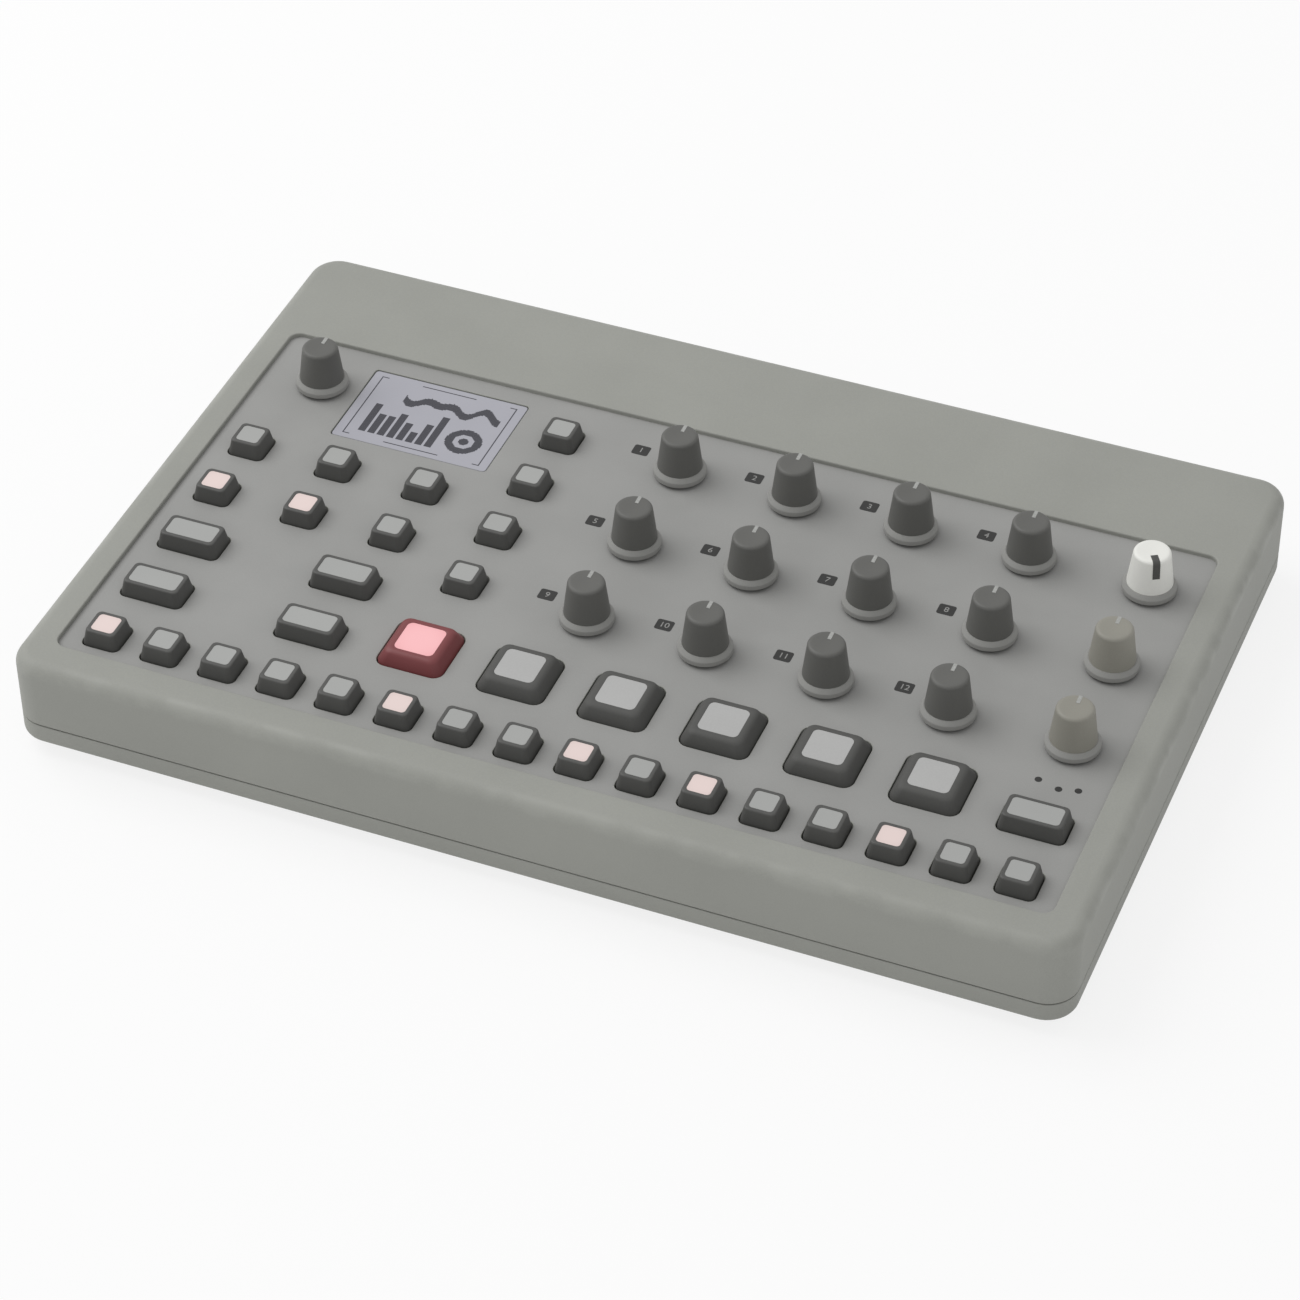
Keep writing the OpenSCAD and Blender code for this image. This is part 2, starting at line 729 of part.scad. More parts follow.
module screws() {
    color(steel_colour) {
        translate([0, 0, head_seat_z - seat]) at_each(case_screw_places) screw();
        translate([0, 0, board_under - seat]) at_each(pillar_places) screw();
    }
}

// ---------- inside ----------

// Block standing on z = 0, centred in x and y
module block(w, d, h) {
    translate([-w / 2, -d / 2, 0]) cube([w, d, h]);
}

// Housing of a key switch or pad sensor, bored for its plunger
module switch(side, plunger) {
    difference() {
        block(side, side, switch_h);
        translate([0, 0, switch_floor]) cylinder(r = plunger + run, h = switch_h);
    }
}

// Pot with a neck, bored for its shaft
module pot() {
    difference() {
        union() {
            block(pot_w, pot_d, pot_h);
            cylinder(r = shaft_r + run + pot_neck_wall, h = pot_h + pot_neck_h);
        }
        translate([0, 0, pot_floor]) cylinder(r = shaft_r + run, h = pot_h + pot_neck_h);
    }
}

module control_board() {
    lit_places = concat(small_key_places, wide_key_places);
    led_w = 1.4;
    led_d = 0.8;
    led_h = 0.7;
    processor_side = 14;
    memory_w = 8;
    chip_h = 1.2;
    chip_gap = 3;
    chip_screw = pillar_places[5];
    chip_y = chip_screw.y - screw_head_r - chip_gap - processor_side / 2;
    memory_x = chip_screw.x + (processor_side + memory_w) / 2 + chip_gap;
    color(board_colour) translate([0, 0, board_under]) difference() {
        translate([0, board_y, 0]) plate(board_w, board_d, board_t, board_edge);
        translate([0, 0, -over]) at_each(pillar_places)
            cylinder(r = screw_r + fit, h = board_t + 2 * over);
    }
    translate([0, 0, board_top + seat]) {
        color(rubber_colour) {
            at_each(lit_places) switch(switch_side, plunger_r);
            at_each(pad_places) switch(sensor_side, sensor_plunger_r);
            at_each(knob_places) pot();
        }
        color("white") at_each(lit_places)
            translate([0, (switch_side + led_d) / 2 + run, 0]) block(led_w, led_d, led_h);
    }
    color(rubber_colour) translate([0, 0, board_under - seat]) mirror([0, 0, 1]) {
        translate([chip_screw.x, chip_y, 0]) block(processor_side, processor_side, chip_h);
        translate([memory_x, chip_y, 0]) block(memory_w, processor_side, chip_h);
        translate([ribbon_x, board_back - header_inset, 0]) block(header_w, header_d, header_h);
    }
}

// Socket with a round nose through the wall; its mouth faces +Y
module round_socket(w, h, d, nose_r, bore_r, bore_d) {
    nose_l = wall + fit - nose_inset;
    difference() {
        union() {
            translate([-w / 2, -d, -h / 2]) cube([w, d, h]);
            rotate([-90, 0, 0]) translate([0, 0, -bite]) cylinder(r = nose_r, h = nose_l + bite);
        }
        rotate([-90, 0, 0]) translate([0, 0, -bore_d]) cylinder(r = bore_r, h = bore_d + nose_l + over);
    }
}

// Centre pin of the power inlet, standing a seat's width off the bottom of the bore
module power_pin() {
    pin_l = power_d - power_back;
    rotate([-90, 0, 0]) translate([0, 0, seat - pin_l]) cylinder(r = power_pin_r, h = pin_l);
}

// USB socket: a flat shell with a tongue, its mouth facing +Y
module usb_socket() {
    shell_t = 0.35;
    tongue_w = usb_w - 2.4;
    tongue_t = 0.7;
    back_t = 1;
    length = usb_d + wall + fit - nose_inset;
    translate([0, -usb_d, 0]) rotate([-90, 0, 0]) {
        difference() {
            linear_extrude(length) rounded_rect(usb_w, usb_h, usb_h / 2 - shell_t);
            translate([0, 0, back_t]) linear_extrude(length)
                rounded_rect(usb_w - 2 * shell_t, usb_h - 2 * shell_t, usb_h / 2 - 2 * shell_t);
        }
        translate([-tongue_w / 2, -tongue_t / 2, back_t - bite])
            cube([tongue_w, tongue_t, length - 2 * back_t]);
    }
}

// Flat cable that drops from one header to the other
module ribbon() {
    straight = 2;
    turns = [
        ribbon_start, ribbon_start + [straight, 0], ribbon_end - [straight, 0], ribbon_end
    ];
    lower = [for (k = [3:-1:0]) turns[k] - [0, ribbon_t]];
    translate([ribbon_x, 0, 0]) rotate([90, 0, 90])
        linear_extrude(ribbon_w, center = true) polygon(concat(turns, lower));
}

module connector_board() {
    capacitor_r = 3;
    capacitor_h = 8;
    capacitor_pitch = 8;
    capacitor_y = connector_front + header_inset + header_d;
    color(board_colour) difference() {
        translate([connector_x, connector_front + connector_d / 2, connector_under])
            plate(connector_w, connector_d, board_t, plate_r);
        translate([0, 0, connector_under - over]) at_each(peg_places)
            cylinder(r = peg_r + fit, h = board_t + 2 * over);
    }
    color(rubber_colour) {
        for (x = phone_xs) translate([x, socket_y, phone_z])
            round_socket(phone_w, phone_h, phone_d, phone_nose_r, phone_bore_r, phone_d - socket_back);
        for (x = midi_xs) translate([x, socket_y, mini_z])
            round_socket(mini_side, mini_side, mini_d, mini_nose_r, mini_bore_r, mini_d - socket_back);
        translate([power_x, socket_y, power_z])
            round_socket(power_w, power_h, power_d, power_bore_r + socket_wall, power_bore_r,
                power_d - power_back);
        translate([ribbon_x, connector_front + header_inset, connector_top + seat])
            block(header_w, header_d, header_h);
    }
    color(steel_colour) {
        translate([power_x, socket_y, power_z]) power_pin();
        translate([usb_x, socket_y, usb_z]) usb_socket();
        for (k = [-1:1])
            translate([ribbon_x + k * capacitor_pitch, capacitor_y + capacitor_r, connector_top + seat])
                cylinder(r = capacitor_r, h = capacitor_h);
    }
    color(case_colour) ribbon();
}

// Window in the panel, the glass and backlight under it, and legs down to the control board
module display() {
    window_bottom = panel_under - ledge_t;
    glass_bottom = window_bottom - seat - lcd_t;
    frame_bottom = glass_bottom - seat - backlight_t;
    frame_margin = 1;
    leg_side = 3;
    glass_w = window_w + 2 * window_ledge;
    glass_d = window_d + 2 * window_ledge;
    leg_x = (glass_w - leg_side) / 2;
    leg_y = (glass_d - leg_side) / 2;
    translate([window_place.x, window_place.y, 0]) {
        color(window_colour) {
            translate([0, 0, window_bottom]) {
                plate(window_w - 2 * fit, window_d - 2 * fit, panel_top - window_drop - window_bottom,
                    plate_r);
                plate(glass_w, glass_d, ledge_t, plate_r);
            }
            translate([0, 0, glass_bottom]) block(glass_w, glass_d, lcd_t);
        }
        color(rubber_colour) {
            translate([0, 0, frame_bottom])
                block(glass_w + 2 * frame_margin, glass_d + 2 * frame_margin, backlight_t);
            for (x = [-leg_x, leg_x], y = [-leg_y, leg_y])
                translate([x, y, board_top + seat])
                    block(leg_side, leg_side, frame_bottom - board_top - seat + bite);
        }
    }
}

top_case();
bottom_case();
control_board();
connector_board();
display();
rubber_feet();
screws();
for (i = [1:step_keys])
    small_key(step_places[i - 1]);
for (i = [1:menu_keys])
    small_key(menu_places[i - 1]);
for (i = [1:select_keys])
    small_key(select_places[i - 1]);
for (i = [1:transport_keys])
    wide_key(transport_places[i - 1]);
wide_key(roll_place);  // roll_key
for (i = [1:pads])
    pad(pad_places[i - 1]);
for (i = [1:param_knobs])
    knob(param_places[i - 1], knob_colour);
for (i = [1:send_knobs])
    knob(send_places[i - 1], send_colour);
knob(volume_place, volume_colour, -knob_turn);  // volume_knob
knob(level_place, knob_colour);  // level_knob
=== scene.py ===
"""Desktop drum machine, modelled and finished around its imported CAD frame.

Lengths are metres. +X runs to the player's right, +Y to the sockets at the back, +Z up, and the
machine stands on z = 0. Each operator makes one piece, or one group of like pieces, and lets it
ride on the body that carries it.
"""

import math

import bmesh
import bpy
from mathutils import Matrix, Vector


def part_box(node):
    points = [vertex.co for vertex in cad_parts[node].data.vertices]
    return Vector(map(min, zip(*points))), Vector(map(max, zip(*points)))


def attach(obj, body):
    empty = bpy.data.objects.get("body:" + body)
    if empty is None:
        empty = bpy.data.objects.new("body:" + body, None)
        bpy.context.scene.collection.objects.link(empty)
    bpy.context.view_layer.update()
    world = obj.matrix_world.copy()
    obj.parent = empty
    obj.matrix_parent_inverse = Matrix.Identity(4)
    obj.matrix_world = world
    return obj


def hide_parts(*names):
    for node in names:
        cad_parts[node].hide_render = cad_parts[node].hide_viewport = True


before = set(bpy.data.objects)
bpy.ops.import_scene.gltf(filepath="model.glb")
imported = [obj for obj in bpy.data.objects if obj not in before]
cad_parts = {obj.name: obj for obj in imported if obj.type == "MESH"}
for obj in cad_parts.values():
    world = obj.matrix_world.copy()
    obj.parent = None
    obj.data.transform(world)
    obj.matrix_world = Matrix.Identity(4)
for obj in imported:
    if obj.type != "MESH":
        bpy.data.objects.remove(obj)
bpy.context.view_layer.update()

bl_info = {
    "name": "Drum machine",
    "version": (1, 0, 0),
    "blender": (4, 5, 0),
    "location": "View3D > Sidebar > Drum machine",
    "description": "Models and finishes a desktop drum machine around its CAD frame",
    "category": "Object",
}

MM = 0.001
OVERLAP = 0.2 * MM  # how far a joined part reaches into what carries it
MERGE_DISTANCE = 0.0005 * MM  # vertices nearer to each other than this become one
FLATNESS = 0.001 * MM  # how far a vertex may lie out of its face's plane
SHARP_ANGLE = math.radians(38)  # edges that turn by more than this stay sharp
STEP_KEYS = [f"step_key_{n}" for n in range(1, 17)]
MENU_KEYS = [f"menu_key_{n}" for n in range(1, 7)]
SELECT_KEYS = [f"select_key_{n}" for n in range(1, 5)]
TRANSPORT_KEYS = [f"transport_key_{n}" for n in range(1, 5)]
KEYS = STEP_KEYS + MENU_KEYS + SELECT_KEYS + TRANSPORT_KEYS + ["roll_key"]
PADS = [f"pad_{n}" for n in range(1, 7)]
PARAM_KNOBS = [f"param_knob_{n}" for n in range(1, 13)]
SEND_KNOBS = ["send_knob_1", "send_knob_2"]
KNOBS = PARAM_KNOBS + SEND_KNOBS + ["volume_knob", "level_knob"]
LIT_KEYS = [f"step_key_{n}" for n in (1, 6, 9, 11, 14)] + ["menu_key_4", "menu_key_5"]
LIT_PADS = ["pad_1"]


def span(node):
    """Width, depth and height of a CAD node."""
    low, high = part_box(node)
    return high - low


def middle(*nodes):
    """Centre between CAD nodes."""
    return sum((sum(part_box(node), Vector()) / 2 for node in nodes), Vector()) / len(nodes)


CASE = span("top_case")
CASE_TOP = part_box("top_case")[1].z
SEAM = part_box("top_case")[0].z
TRAY_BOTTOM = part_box("bottom_case")[0].z
REAR = CASE.y / 2


# ---------- settings ----------

def linear(level):
    """Scene-linear value of a screen level out of 255, by the sRGB curve."""
    part = level / 255
    return part / 12.92 if part <= 0.04045 else ((part + 0.055) / 1.055) ** 2.4


def length(name, description, millimetres):
    """Length property with a default given in millimetres."""
    return bpy.props.FloatProperty(
        name=name, description=description, default=millimetres * MM, min=0, precision=5, unit="LENGTH")


def angle(name, description, degrees):
    """Angle property with a default given in degrees."""
    return bpy.props.FloatProperty(
        name=name, description=description, default=math.radians(degrees), subtype="ANGLE")


def amount(name, description, value):
    """Property for a strength or a share."""
    return bpy.props.FloatProperty(name=name, description=description, default=value, min=0)


def colour(name, description, red, green, blue):
    """Colour property with a default given in screen levels out of 255."""
    return bpy.props.FloatVectorProperty(
        name=name, description=description, default=[linear(level) for level in (red, green, blue)],
        min=0, max=1, size=3, subtype="COLOR")


class CaseSettings(bpy.types.PropertyGroup):
    """Sizes and colours of the case and its panel."""
    corner: length("Corner radius", "Radius of the case's corners seen from above", 8)
    top_edge: length("Top edge radius", "Radius along the top edge", 3.5)
    bottom_edge: length("Bottom edge radius", "Radius along the bottom edge", 1.5)
    seam_edge: length("Seam edge radius", "Radius of both edges at the seam", 0.25)
    seam_gap: length("Seam gap", "Open line between tray and top case", 0.3)
    wall: length("Wall", "Thickness of the side walls", 2.5)
    skin: length("Skin", "Thickness of the top case outside the tray's lip", 1.2)
    lip: length("Lip", "Height of the tray's lip above the seam", 1.6)
    lip_room: length("Lip room", "Clearance above the tray's lip", 0.05)
    lip_play: length("Lip play", "Clearance outside the tray's lip", 0.15)
    floor: length("Floor", "Thickness of the tray's floor", 2.5)
    border_side: length("Side border", "Width of the border left and right of the panel", 8.5)
    border_front: length("Front border", "Width of the border in front of the panel", 10)
    border_back: length("Back border", "Depth of the raised strip behind the panel", 35.5)
    border_edge: length("Border edge radius", "Radius of the border's inner edge", 0.4)
    recess: length("Recess", "Depth of the panel below the border", 1.2)
    panel_corner: length("Panel corner radius", "Corner radius of the panel", 3)
    panel: length("Panel", "Thickness of the panel", 2.5)
    opening_edge: length("Opening edge radius", "Radius around each opening", 0.2)
    knob_opening: length("Knob opening", "Radius of the opening around a knob's shaft", 3.6)
    rib: length("Rib", "Height of the ribs on the tray's floor", 1.6)
    rib_width: length("Rib width", "Thickness of those ribs", 1.2)
    screw_inset: length("Screw inset", "From the case's sides to the corner screws", 8)
    inner_screw_x: length("Inner screws", "From the middle to the two inner screws", 45)
    inner_screw_y: length("Inner screw row", "From the middle back to the two inner screws", 58.35)
    screw_recess: length("Screw recess radius", "Radius of the recess around a screw's head", 3)
    screw_seat: length("Screw seat", "From the underside of the case to the seat of a screw's head", 3)
    screw_hole: length("Screw hole radius", "Radius of the hole for a screw's shank", 1.65)
    boss: length("Boss radius", "Radius of the bosses around the case's screws", 3.8)
    thread: length("Thread radius", "Radius of the holes that the screws cut into", 1.55)
    pillar: length("Pillar radius", "Radius of the pillars that carry the control board", 2.6)
    pillar_gap: length("Pillar gap", "From the front keys' flanges back to the nearest pillars' axes", 2.9)
    peg_base: length("Peg base radius", "Radius of the posts under the connector board", 2.6)
    peg: length("Peg radius", "Radius of the pegs that locate the connector board", 1.4)
    peg_proud: length("Peg height", "How far those pegs stand out of the connector board", 0.8)
    shell_colour: colour("Shell", "Colour of the moulded case", 155, 156, 150)
    panel_colour: colour("Panel", "Colour of the recessed panel", 156, 156, 154)


class FootSettings(bpy.types.PropertyGroup):
    """Sizes of the rubber feet."""
    inset: length("Inset", "From the case's sides to the feet's centres", 18)
    radius: length("Radius", "Radius of a foot", 7)
    edge: length("Edge radius", "Radius along a foot's lower edge", 1)
    hollow: length("Hollow radius", "Radius of the shallow hollow under a foot", 3.4)
    hollow_depth: length("Hollow depth", "Depth of that hollow", 0.4)
    hollow_slope: length("Hollow slope", "Width of the slope from the ground into that hollow", 0.5)
    seat: length("Seat", "Depth of a foot's seat in the tray", 0.6)
    play: length("Play", "Clearance around a foot in its seat", 0.15)


class KeySettings(bpy.types.PropertyGroup):
    """Sizes and colours of the keys and pads."""
    gap: length("Gap", "Gap between a key or pad and its opening", 0.35)
    lap: length("Flange lap", "How far a flange reaches under the panel", 0.6)
    flange: length("Flange", "Thickness of the flange", 1)
    flange_drop: length("Flange drop", "From the panel's underside to the flange", 0.3)
    skin: length("Skin", "Thickness of a key's top and sides", 1.2)
    key_corner: length("Key corner radius", "Corner radius of a key", 1.5)
    key_draft: length("Key draft", "How far each side of a key leans in", 0.7)
    key_edge: length("Key edge radius", "Radius around a key's top", 0.45)
    inlay_inset: length("Inlay inset", "From the rounded edge to the light inlay of a top", 0.6)
    inlay_depth: length("Inlay depth", "How far the inlay lies below its rim", 0.08)
    key_stem: length("Key stem radius", "Radius of a key's stem", 2)
    key_plunger: length("Key plunger radius", "Radius of a key switch's plunger", 1.75)
    pad_corner: length("Pad corner radius", "Corner radius of a pad", 2.4)
    pad_draft: length("Pad draft", "How far each side of a pad leans in", 1.2)
    pad_edge: length("Pad edge radius", "Radius around a pad's top", 1.7)
    pad_stem: length("Pad stem radius", "Radius of a pad's stem", 3.8)
    pad_plunger: length("Pad plunger radius", "Radius of a pad sensor's plunger", 3.5)
    plunger: length("Plunger", "Length of a plunger", 2.8)
    seat: length("Seat", "Gap between a stem and its plunger", 0.05)
    side_colour: colour("Sides", "Colour of the keys' and pads' sides", 84, 84, 82)
    key_top_colour: colour("Key tops", "Colour of the keys' tops", 168, 169, 167)
    pad_top_colour: colour("Pad tops", "Colour of the pads' tops", 180, 180, 179)
    # The lit colours below are painted glow: the light of the lamps under the lit keys and pad is painted into
    # their base colours, alongside the weak emission set by the glow strengths
    lit_colour: colour("Lit key", "Colour of a lit key's top", 222, 204, 200)
    lit_pad_colour: colour("Lit pad", "Colour of the lit pad's top, over its lamp", 236, 178, 181)
    lit_pad_edge_colour: colour("Lit pad edge", "Colour of the lit pad's top away from its lamp", 214, 128, 133)
    lit_side_colour: colour("Lit pad side", "Colour of the lit pad's sides", 122, 60, 62)
    lit_edge: amount("Lit key edge", "Shade of a lit key's top away from its lamp", 0.8)
    key_glow: amount("Key glow", "Strength of the lamp under a lit key", 0.12)
    key_reach: amount("Key lamp reach", "How far that lamp reaches, as a share of the key's width", 0.55)
    pad_glow: amount("Pad glow", "Strength of the lamp under the lit pad", 0.2)
    pad_reach: amount("Pad lamp reach", "How far that lamp reaches, as a share of the pad's width", 0.6)
    side_glow: amount("Side glow", "Glow of the lit pad's sides, as a share of its top's", 0.3)


class KnobSettings(bpy.types.PropertyGroup):
    """Sizes and colours of the knobs."""
    height: length("Height", "Height of a knob", 11.85)
    gap: length("Gap", "Gap between a knob and the panel", 0.8)
    top_radius: length("Top radius", "Radius of a knob at its top", 4.7)
    top_edge: length("Top edge radius", "Radius around a knob's top", 0.9)
    skirt: length("Skirt", "Height of a knob's skirt", 1.6)
    skirt_edge: length("Skirt edge radius", "Radius of the skirt's upper edge", 0.4)
    skirt_foot: length("Skirt foot radius", "Radius of the skirt's lower edge", 0.25)
    waist_sunk: length("Waist depth", "How far the cap reaches into its skirt", 0.4)
    rim: length("Rim", "Thickness of the rim under a knob", 1.2)
    rim_height: length("Rim height", "Height of the hollow inside the rim", 1)
    dish: length("Dish", "Depth of the dish in a knob's top", 0.15)
    shaft: length("Shaft radius", "Radius of a pot's shaft", 3)
    shaft_reach: length("Shaft reach", "How far a shaft reaches up into its knob", 1.2)
    pointer: length("Pointer", "Width of the pointer line", 0.9)
    volume_pointer: length("Wide pointer", "Width of the pointer line on the pale knob", 1.8)
    pointer_start: length("Pointer start", "From a knob's axis to its pointer line", 1.6)
    pointer_foot: length("Pointer foot", "From a knob's waist up to the foot of its pointer line", 4.5)
    pointer_depth: length("Pointer depth", "Depth of the pointer line's inlay", 0.4)
    pointer_proud: length("Pointer height", "How far the pointer line stands up", 0.04)
    turn: angle("Volume turn", "How far the volume knob stands turned down", 150)
    knob_colour: colour("Knobs", "Colour of the dark knobs", 100, 100, 97)
    skirt_colour: colour("Skirts", "Colour of the skirt under every knob", 152, 152, 149)
    send_colour: colour("Send knobs", "Colour of the two beige-grey knobs", 147, 145, 136)
    volume_colour: colour("Volume knob", "Colour of the pale knob", 238, 238, 233)
    pointer_colour: colour("Pointer", "Colour of the pointer on dark knobs", 160, 161, 158)
    volume_pointer_colour: colour("Volume pointer", "Colour of the pointer on the pale knob", 72, 72, 70)


class DisplaySettings(bpy.types.PropertyGroup):
    """Sizes and colours of the display."""
    width: length("Width", "Width of the window's opening", 43.5)
    depth: length("Depth", "Depth of the window's opening", 29)
    corner: length("Corner radius", "Corner radius of the window", 1)
    edge: length("Edge radius", "Radius along the window's top edge", 0.2)
    clearance: length("Clearance", "Clearance of the window in its opening", 0.15)
    drop: length("Drop", "How far the window lies below the panel", 0.2)
    ledge: length("Ledge", "Thickness of the ledge around the window", 1)
    ledge_width: length("Ledge width", "Width of that ledge", 1.5)
    glass: length("Glass", "Thickness of the display's glass", 1.8)
    backlight: length("Backlight", "Thickness of the backlight", 2)
    backlight_margin: length("Backlight margin", "How far the backlight reaches past the glass", 1)
    leg: length("Leg", "Side of the backlight's legs", 3)
    seat: length("Seat", "Gap between the display's layers", 0.05)
    pixel: length("Pixel", "Distance between the display's pixels", 0.33)
    field_colour: colour("Field", "Colour of the display's field", 168, 168, 176)
    mark_colour: colour("Marks", "Colour of the display's marks", 44, 44, 52)
    rim_shade: amount("Rim shade", "Shade of the window's rim against its field", 0.6)


class SocketSettings(bpy.types.PropertyGroup):
    """Sizes and places of the sockets in the rear wall."""
    nose_inset: length("Nose inset", "From the rear wall's face to the sockets' noses", 0.3)
    clearance: length("Clearance", "Clearance around the sockets' noses", 0.15)
    phone_height: length("Phone height", "Height of the phone sockets' axes", 17.9)
    phone_nose: length("Phone nose", "Radius of a phone socket's nose", 4.8)
    phone_bore: length("Phone bore", "Radius of a phone socket's bore", 3.25)
    mini_height: length("MIDI height", "Height of the MIDI sockets' axes", 15.3)
    mini_nose: length("MIDI nose", "Radius of a MIDI socket's nose", 3)
    mini_bore: length("MIDI bore", "Radius of a MIDI socket's bore", 1.85)
    power_height: length("Power height", "Height of the power inlet's axis", 17.3)
    power_nose: length("Power nose", "Radius of the power inlet's nose", 3.7)
    usb_height: length("USB height", "Height of the USB socket's axis", 13.4)
    usb_width: length("USB width", "Width of the USB socket", 9)
    usb_depth: length("USB depth", "Height of the USB socket's shell", 3.2)
    usb_clearance: length("USB clearance", "Clearance around the USB socket's shell", 0.12)
    ring: length("Ring", "How far a plated ring stands out of a nose", 0.22)
    ring_inset: length("Ring inset", "From a nose's edge to its plated ring", 0.3)
    ring_play: length("Ring play", "Clearance between a plated ring and its socket's bore", 0.05)
    ring_sunk: length("Ring depth", "How far a plated ring reaches into its nose", 0.05)
    ring_edge: length("Ring edge", "Bevel along a plated ring's outer edge", 0.1)
    usb_steel: length("USB steel", "How far the steel finish reaches past each side of the USB socket", 0.5)


class PrintSettings(bpy.types.PropertyGroup):
    """Sizes and colours of the panel's print."""
    tag_width: length("Tag width", "Width of the dark tag beside a knob", 4.4)
    tag_depth: length("Tag depth", "Depth of that tag", 3.8)
    tag_corner: length("Tag corner radius", "Corner radius of that tag", 0.6)
    tag_left: length("Tag left", "From a knob's axis left to its tag", 12.8)
    tag_back: length("Tag back", "From a knob's axis back to its tag", 5.4)
    tag_figure: length("Tag figures", "Height of the figures on the tags", 1.9)
    key_figure: length("Key figures", "Height of the figures behind the step keys", 1.7)
    key_back: length("Key print back", "From a key's middle back to its figure or symbol", 6.9)
    symbol: length("Symbols", "Size of the symbols behind the wide keys", 1.9)
    dot: length("Dot", "Radius of the round marks behind the roll key", 0.9)
    thickness: length("Thickness", "How far the print stands on the panel", 0.02)
    dark_colour: colour("Dark print", "Colour of the dark print", 44, 44, 43)
    light_colour: colour("Light print", "Colour of the figures on the tags", 146, 146, 144)
    faint_colour: colour("Faint print", "Colour of the faint print", 122, 122, 120)


class StageSettings(bpy.types.PropertyGroup):
    """Camera, floor and light."""
    azimuth: angle("Azimuth", "Camera's turn to the right of the front", 22.43)
    elevation: angle("Elevation", "Camera's angle above the floor", 41.2)
    roll: angle("Roll", "Camera's roll", -0.58)
    distance: length("Distance", "From the camera to the middle of the case", 1072)
    aim_left: length("Aim left", "How far the camera aims left of the case's middle", 3.2)
    aim_low: length("Aim low", "How far the camera aims below the case's middle", 1.6)
    lens: amount("Lens", "Focal length in millimetres, for a sensor 36 mm wide", 118.7)
    near: length("Near end", "Where the camera's sight begins", 10)
    far: length("Far end", "Where the camera's sight ends", 50000)
    floor_size: length("Floor", "Side of the floor", 8000)
    floor_colour: colour("Floor", "Colour of the floor", 244, 244, 244)
    sky: amount("Sky", "Strength of the even light from all round", 0.61)
    lamp: amount("Lamp", "Power of the large lamp in watts", 17)
    lamp_size: length("Lamp size", "Side of the large lamp", 1400)
    lamp_left: length("Lamp left", "From the machine's middle left to the large lamp", 1150)
    lamp_back: length("Lamp back", "From the machine's middle back to the large lamp", 100)
    lamp_height: length("Lamp height", "Height of the large lamp above the floor", 1450)
    white_share: amount("Floor white", "How much of the floor the camera sees as plain white", 0.82)


# ---------- materials ----------

# Scene-linear colours of what isn't moulded plastic, from the darker to the lighter.
ZINC = ((0.42, 0.43, 0.44), (0.58, 0.59, 0.6))
BOARD_MASK = ((0.018, 0.075, 0.035), (0.03, 0.12, 0.055))
BOARD_PARTS = ((0.012, 0.012, 0.013), (0.022, 0.022, 0.023))
SOCKET_STEEL = (0.5, 0.5, 0.51)
RUBBER = ((0.018, 0.018, 0.018), (0.045, 0.045, 0.044))

# Drawing on the display, in its pixels, counted from its middle.
FRAME_HALF_WIDTH, FRAME_HALF_HEIGHT = 58, 38
FRAME_GAP = 14  # the frame is open where its column and row differ by less than this
BARS_LEFT, BARS_RIGHT, BARS_FOOT = -48, 16, -31
BAR_PITCH, BAR_SHARE = 8, 0.74  # the share of the pitch that is inked
BAR_WAVES = ((1.7, 8), (0.9, 6))  # turn from bar to bar, and swing, of the waves that set the bars' tops
BAR_LEVEL = -5
TRACE_LEFT, TRACE_RIGHT = -30, 52
TRACE_TURNS = (0.21, 0.047)  # turns from pixel to pixel of the waves that make the trace
TRACE_SWING, TRACE_LEVEL, TRACE_HALF_WIDTH = 6, 19, 4.2
RING_X, RING_Y = 35, -15
RING_OUTER, RING_INNER, RING_CORE = 220, 70, 16  # squares of the radii
PIXEL_HALF = 0.43  # half the inked width of a pixel
INK_SOLID, INK_PIXEL = 0.8, 0.16  # ink between the pixels, and what a pixel adds to it


class Value:
    """Socket of a finish that takes part in Python arithmetic."""

    def __init__(self, finish, socket):
        self.finish = finish
        self.socket = socket

    def maths(self, operation, *others):
        return self.finish.node("ShaderNodeMath", {"operation": operation}, dict(enumerate((self,) + others)))

    def __add__(self, other):
        return self.maths("ADD", other)

    def __sub__(self, other):
        return self.maths("SUBTRACT", other)

    def __rsub__(self, other):
        return self.finish.node("ShaderNodeMath", {"operation": "SUBTRACT"}, {0: other, 1: self})

    def __mul__(self, other):
        return self.maths("MULTIPLY", other)

    def __truediv__(self, other):
        return self.maths("DIVIDE", other)

    def __gt__(self, other):
        return self.maths("GREATER_THAN", other)

    def __lt__(self, other):
        return self.maths("LESS_THAN", other)

    def __abs__(self):
        return self.maths("ABSOLUTE")

    def ramp(self, low, high):
        """0 up to low, 1 from high on, and smooth between them."""
        inputs = {"Value": self, "From Min": low, "From Max": high}
        return self.finish.node("ShaderNodeMapRange", {"interpolation_type": "SMOOTHSTEP"}, inputs)


def opaque(tone):
    """Colour with an alpha of 1. A linked colour stays as it is."""
    return tone if isinstance(tone, Value) else (*tone[:3], 1)


def scaled(tone, factor):
    """Lighter or darker colour of the same hue."""
    return [channel * factor for channel in tone]


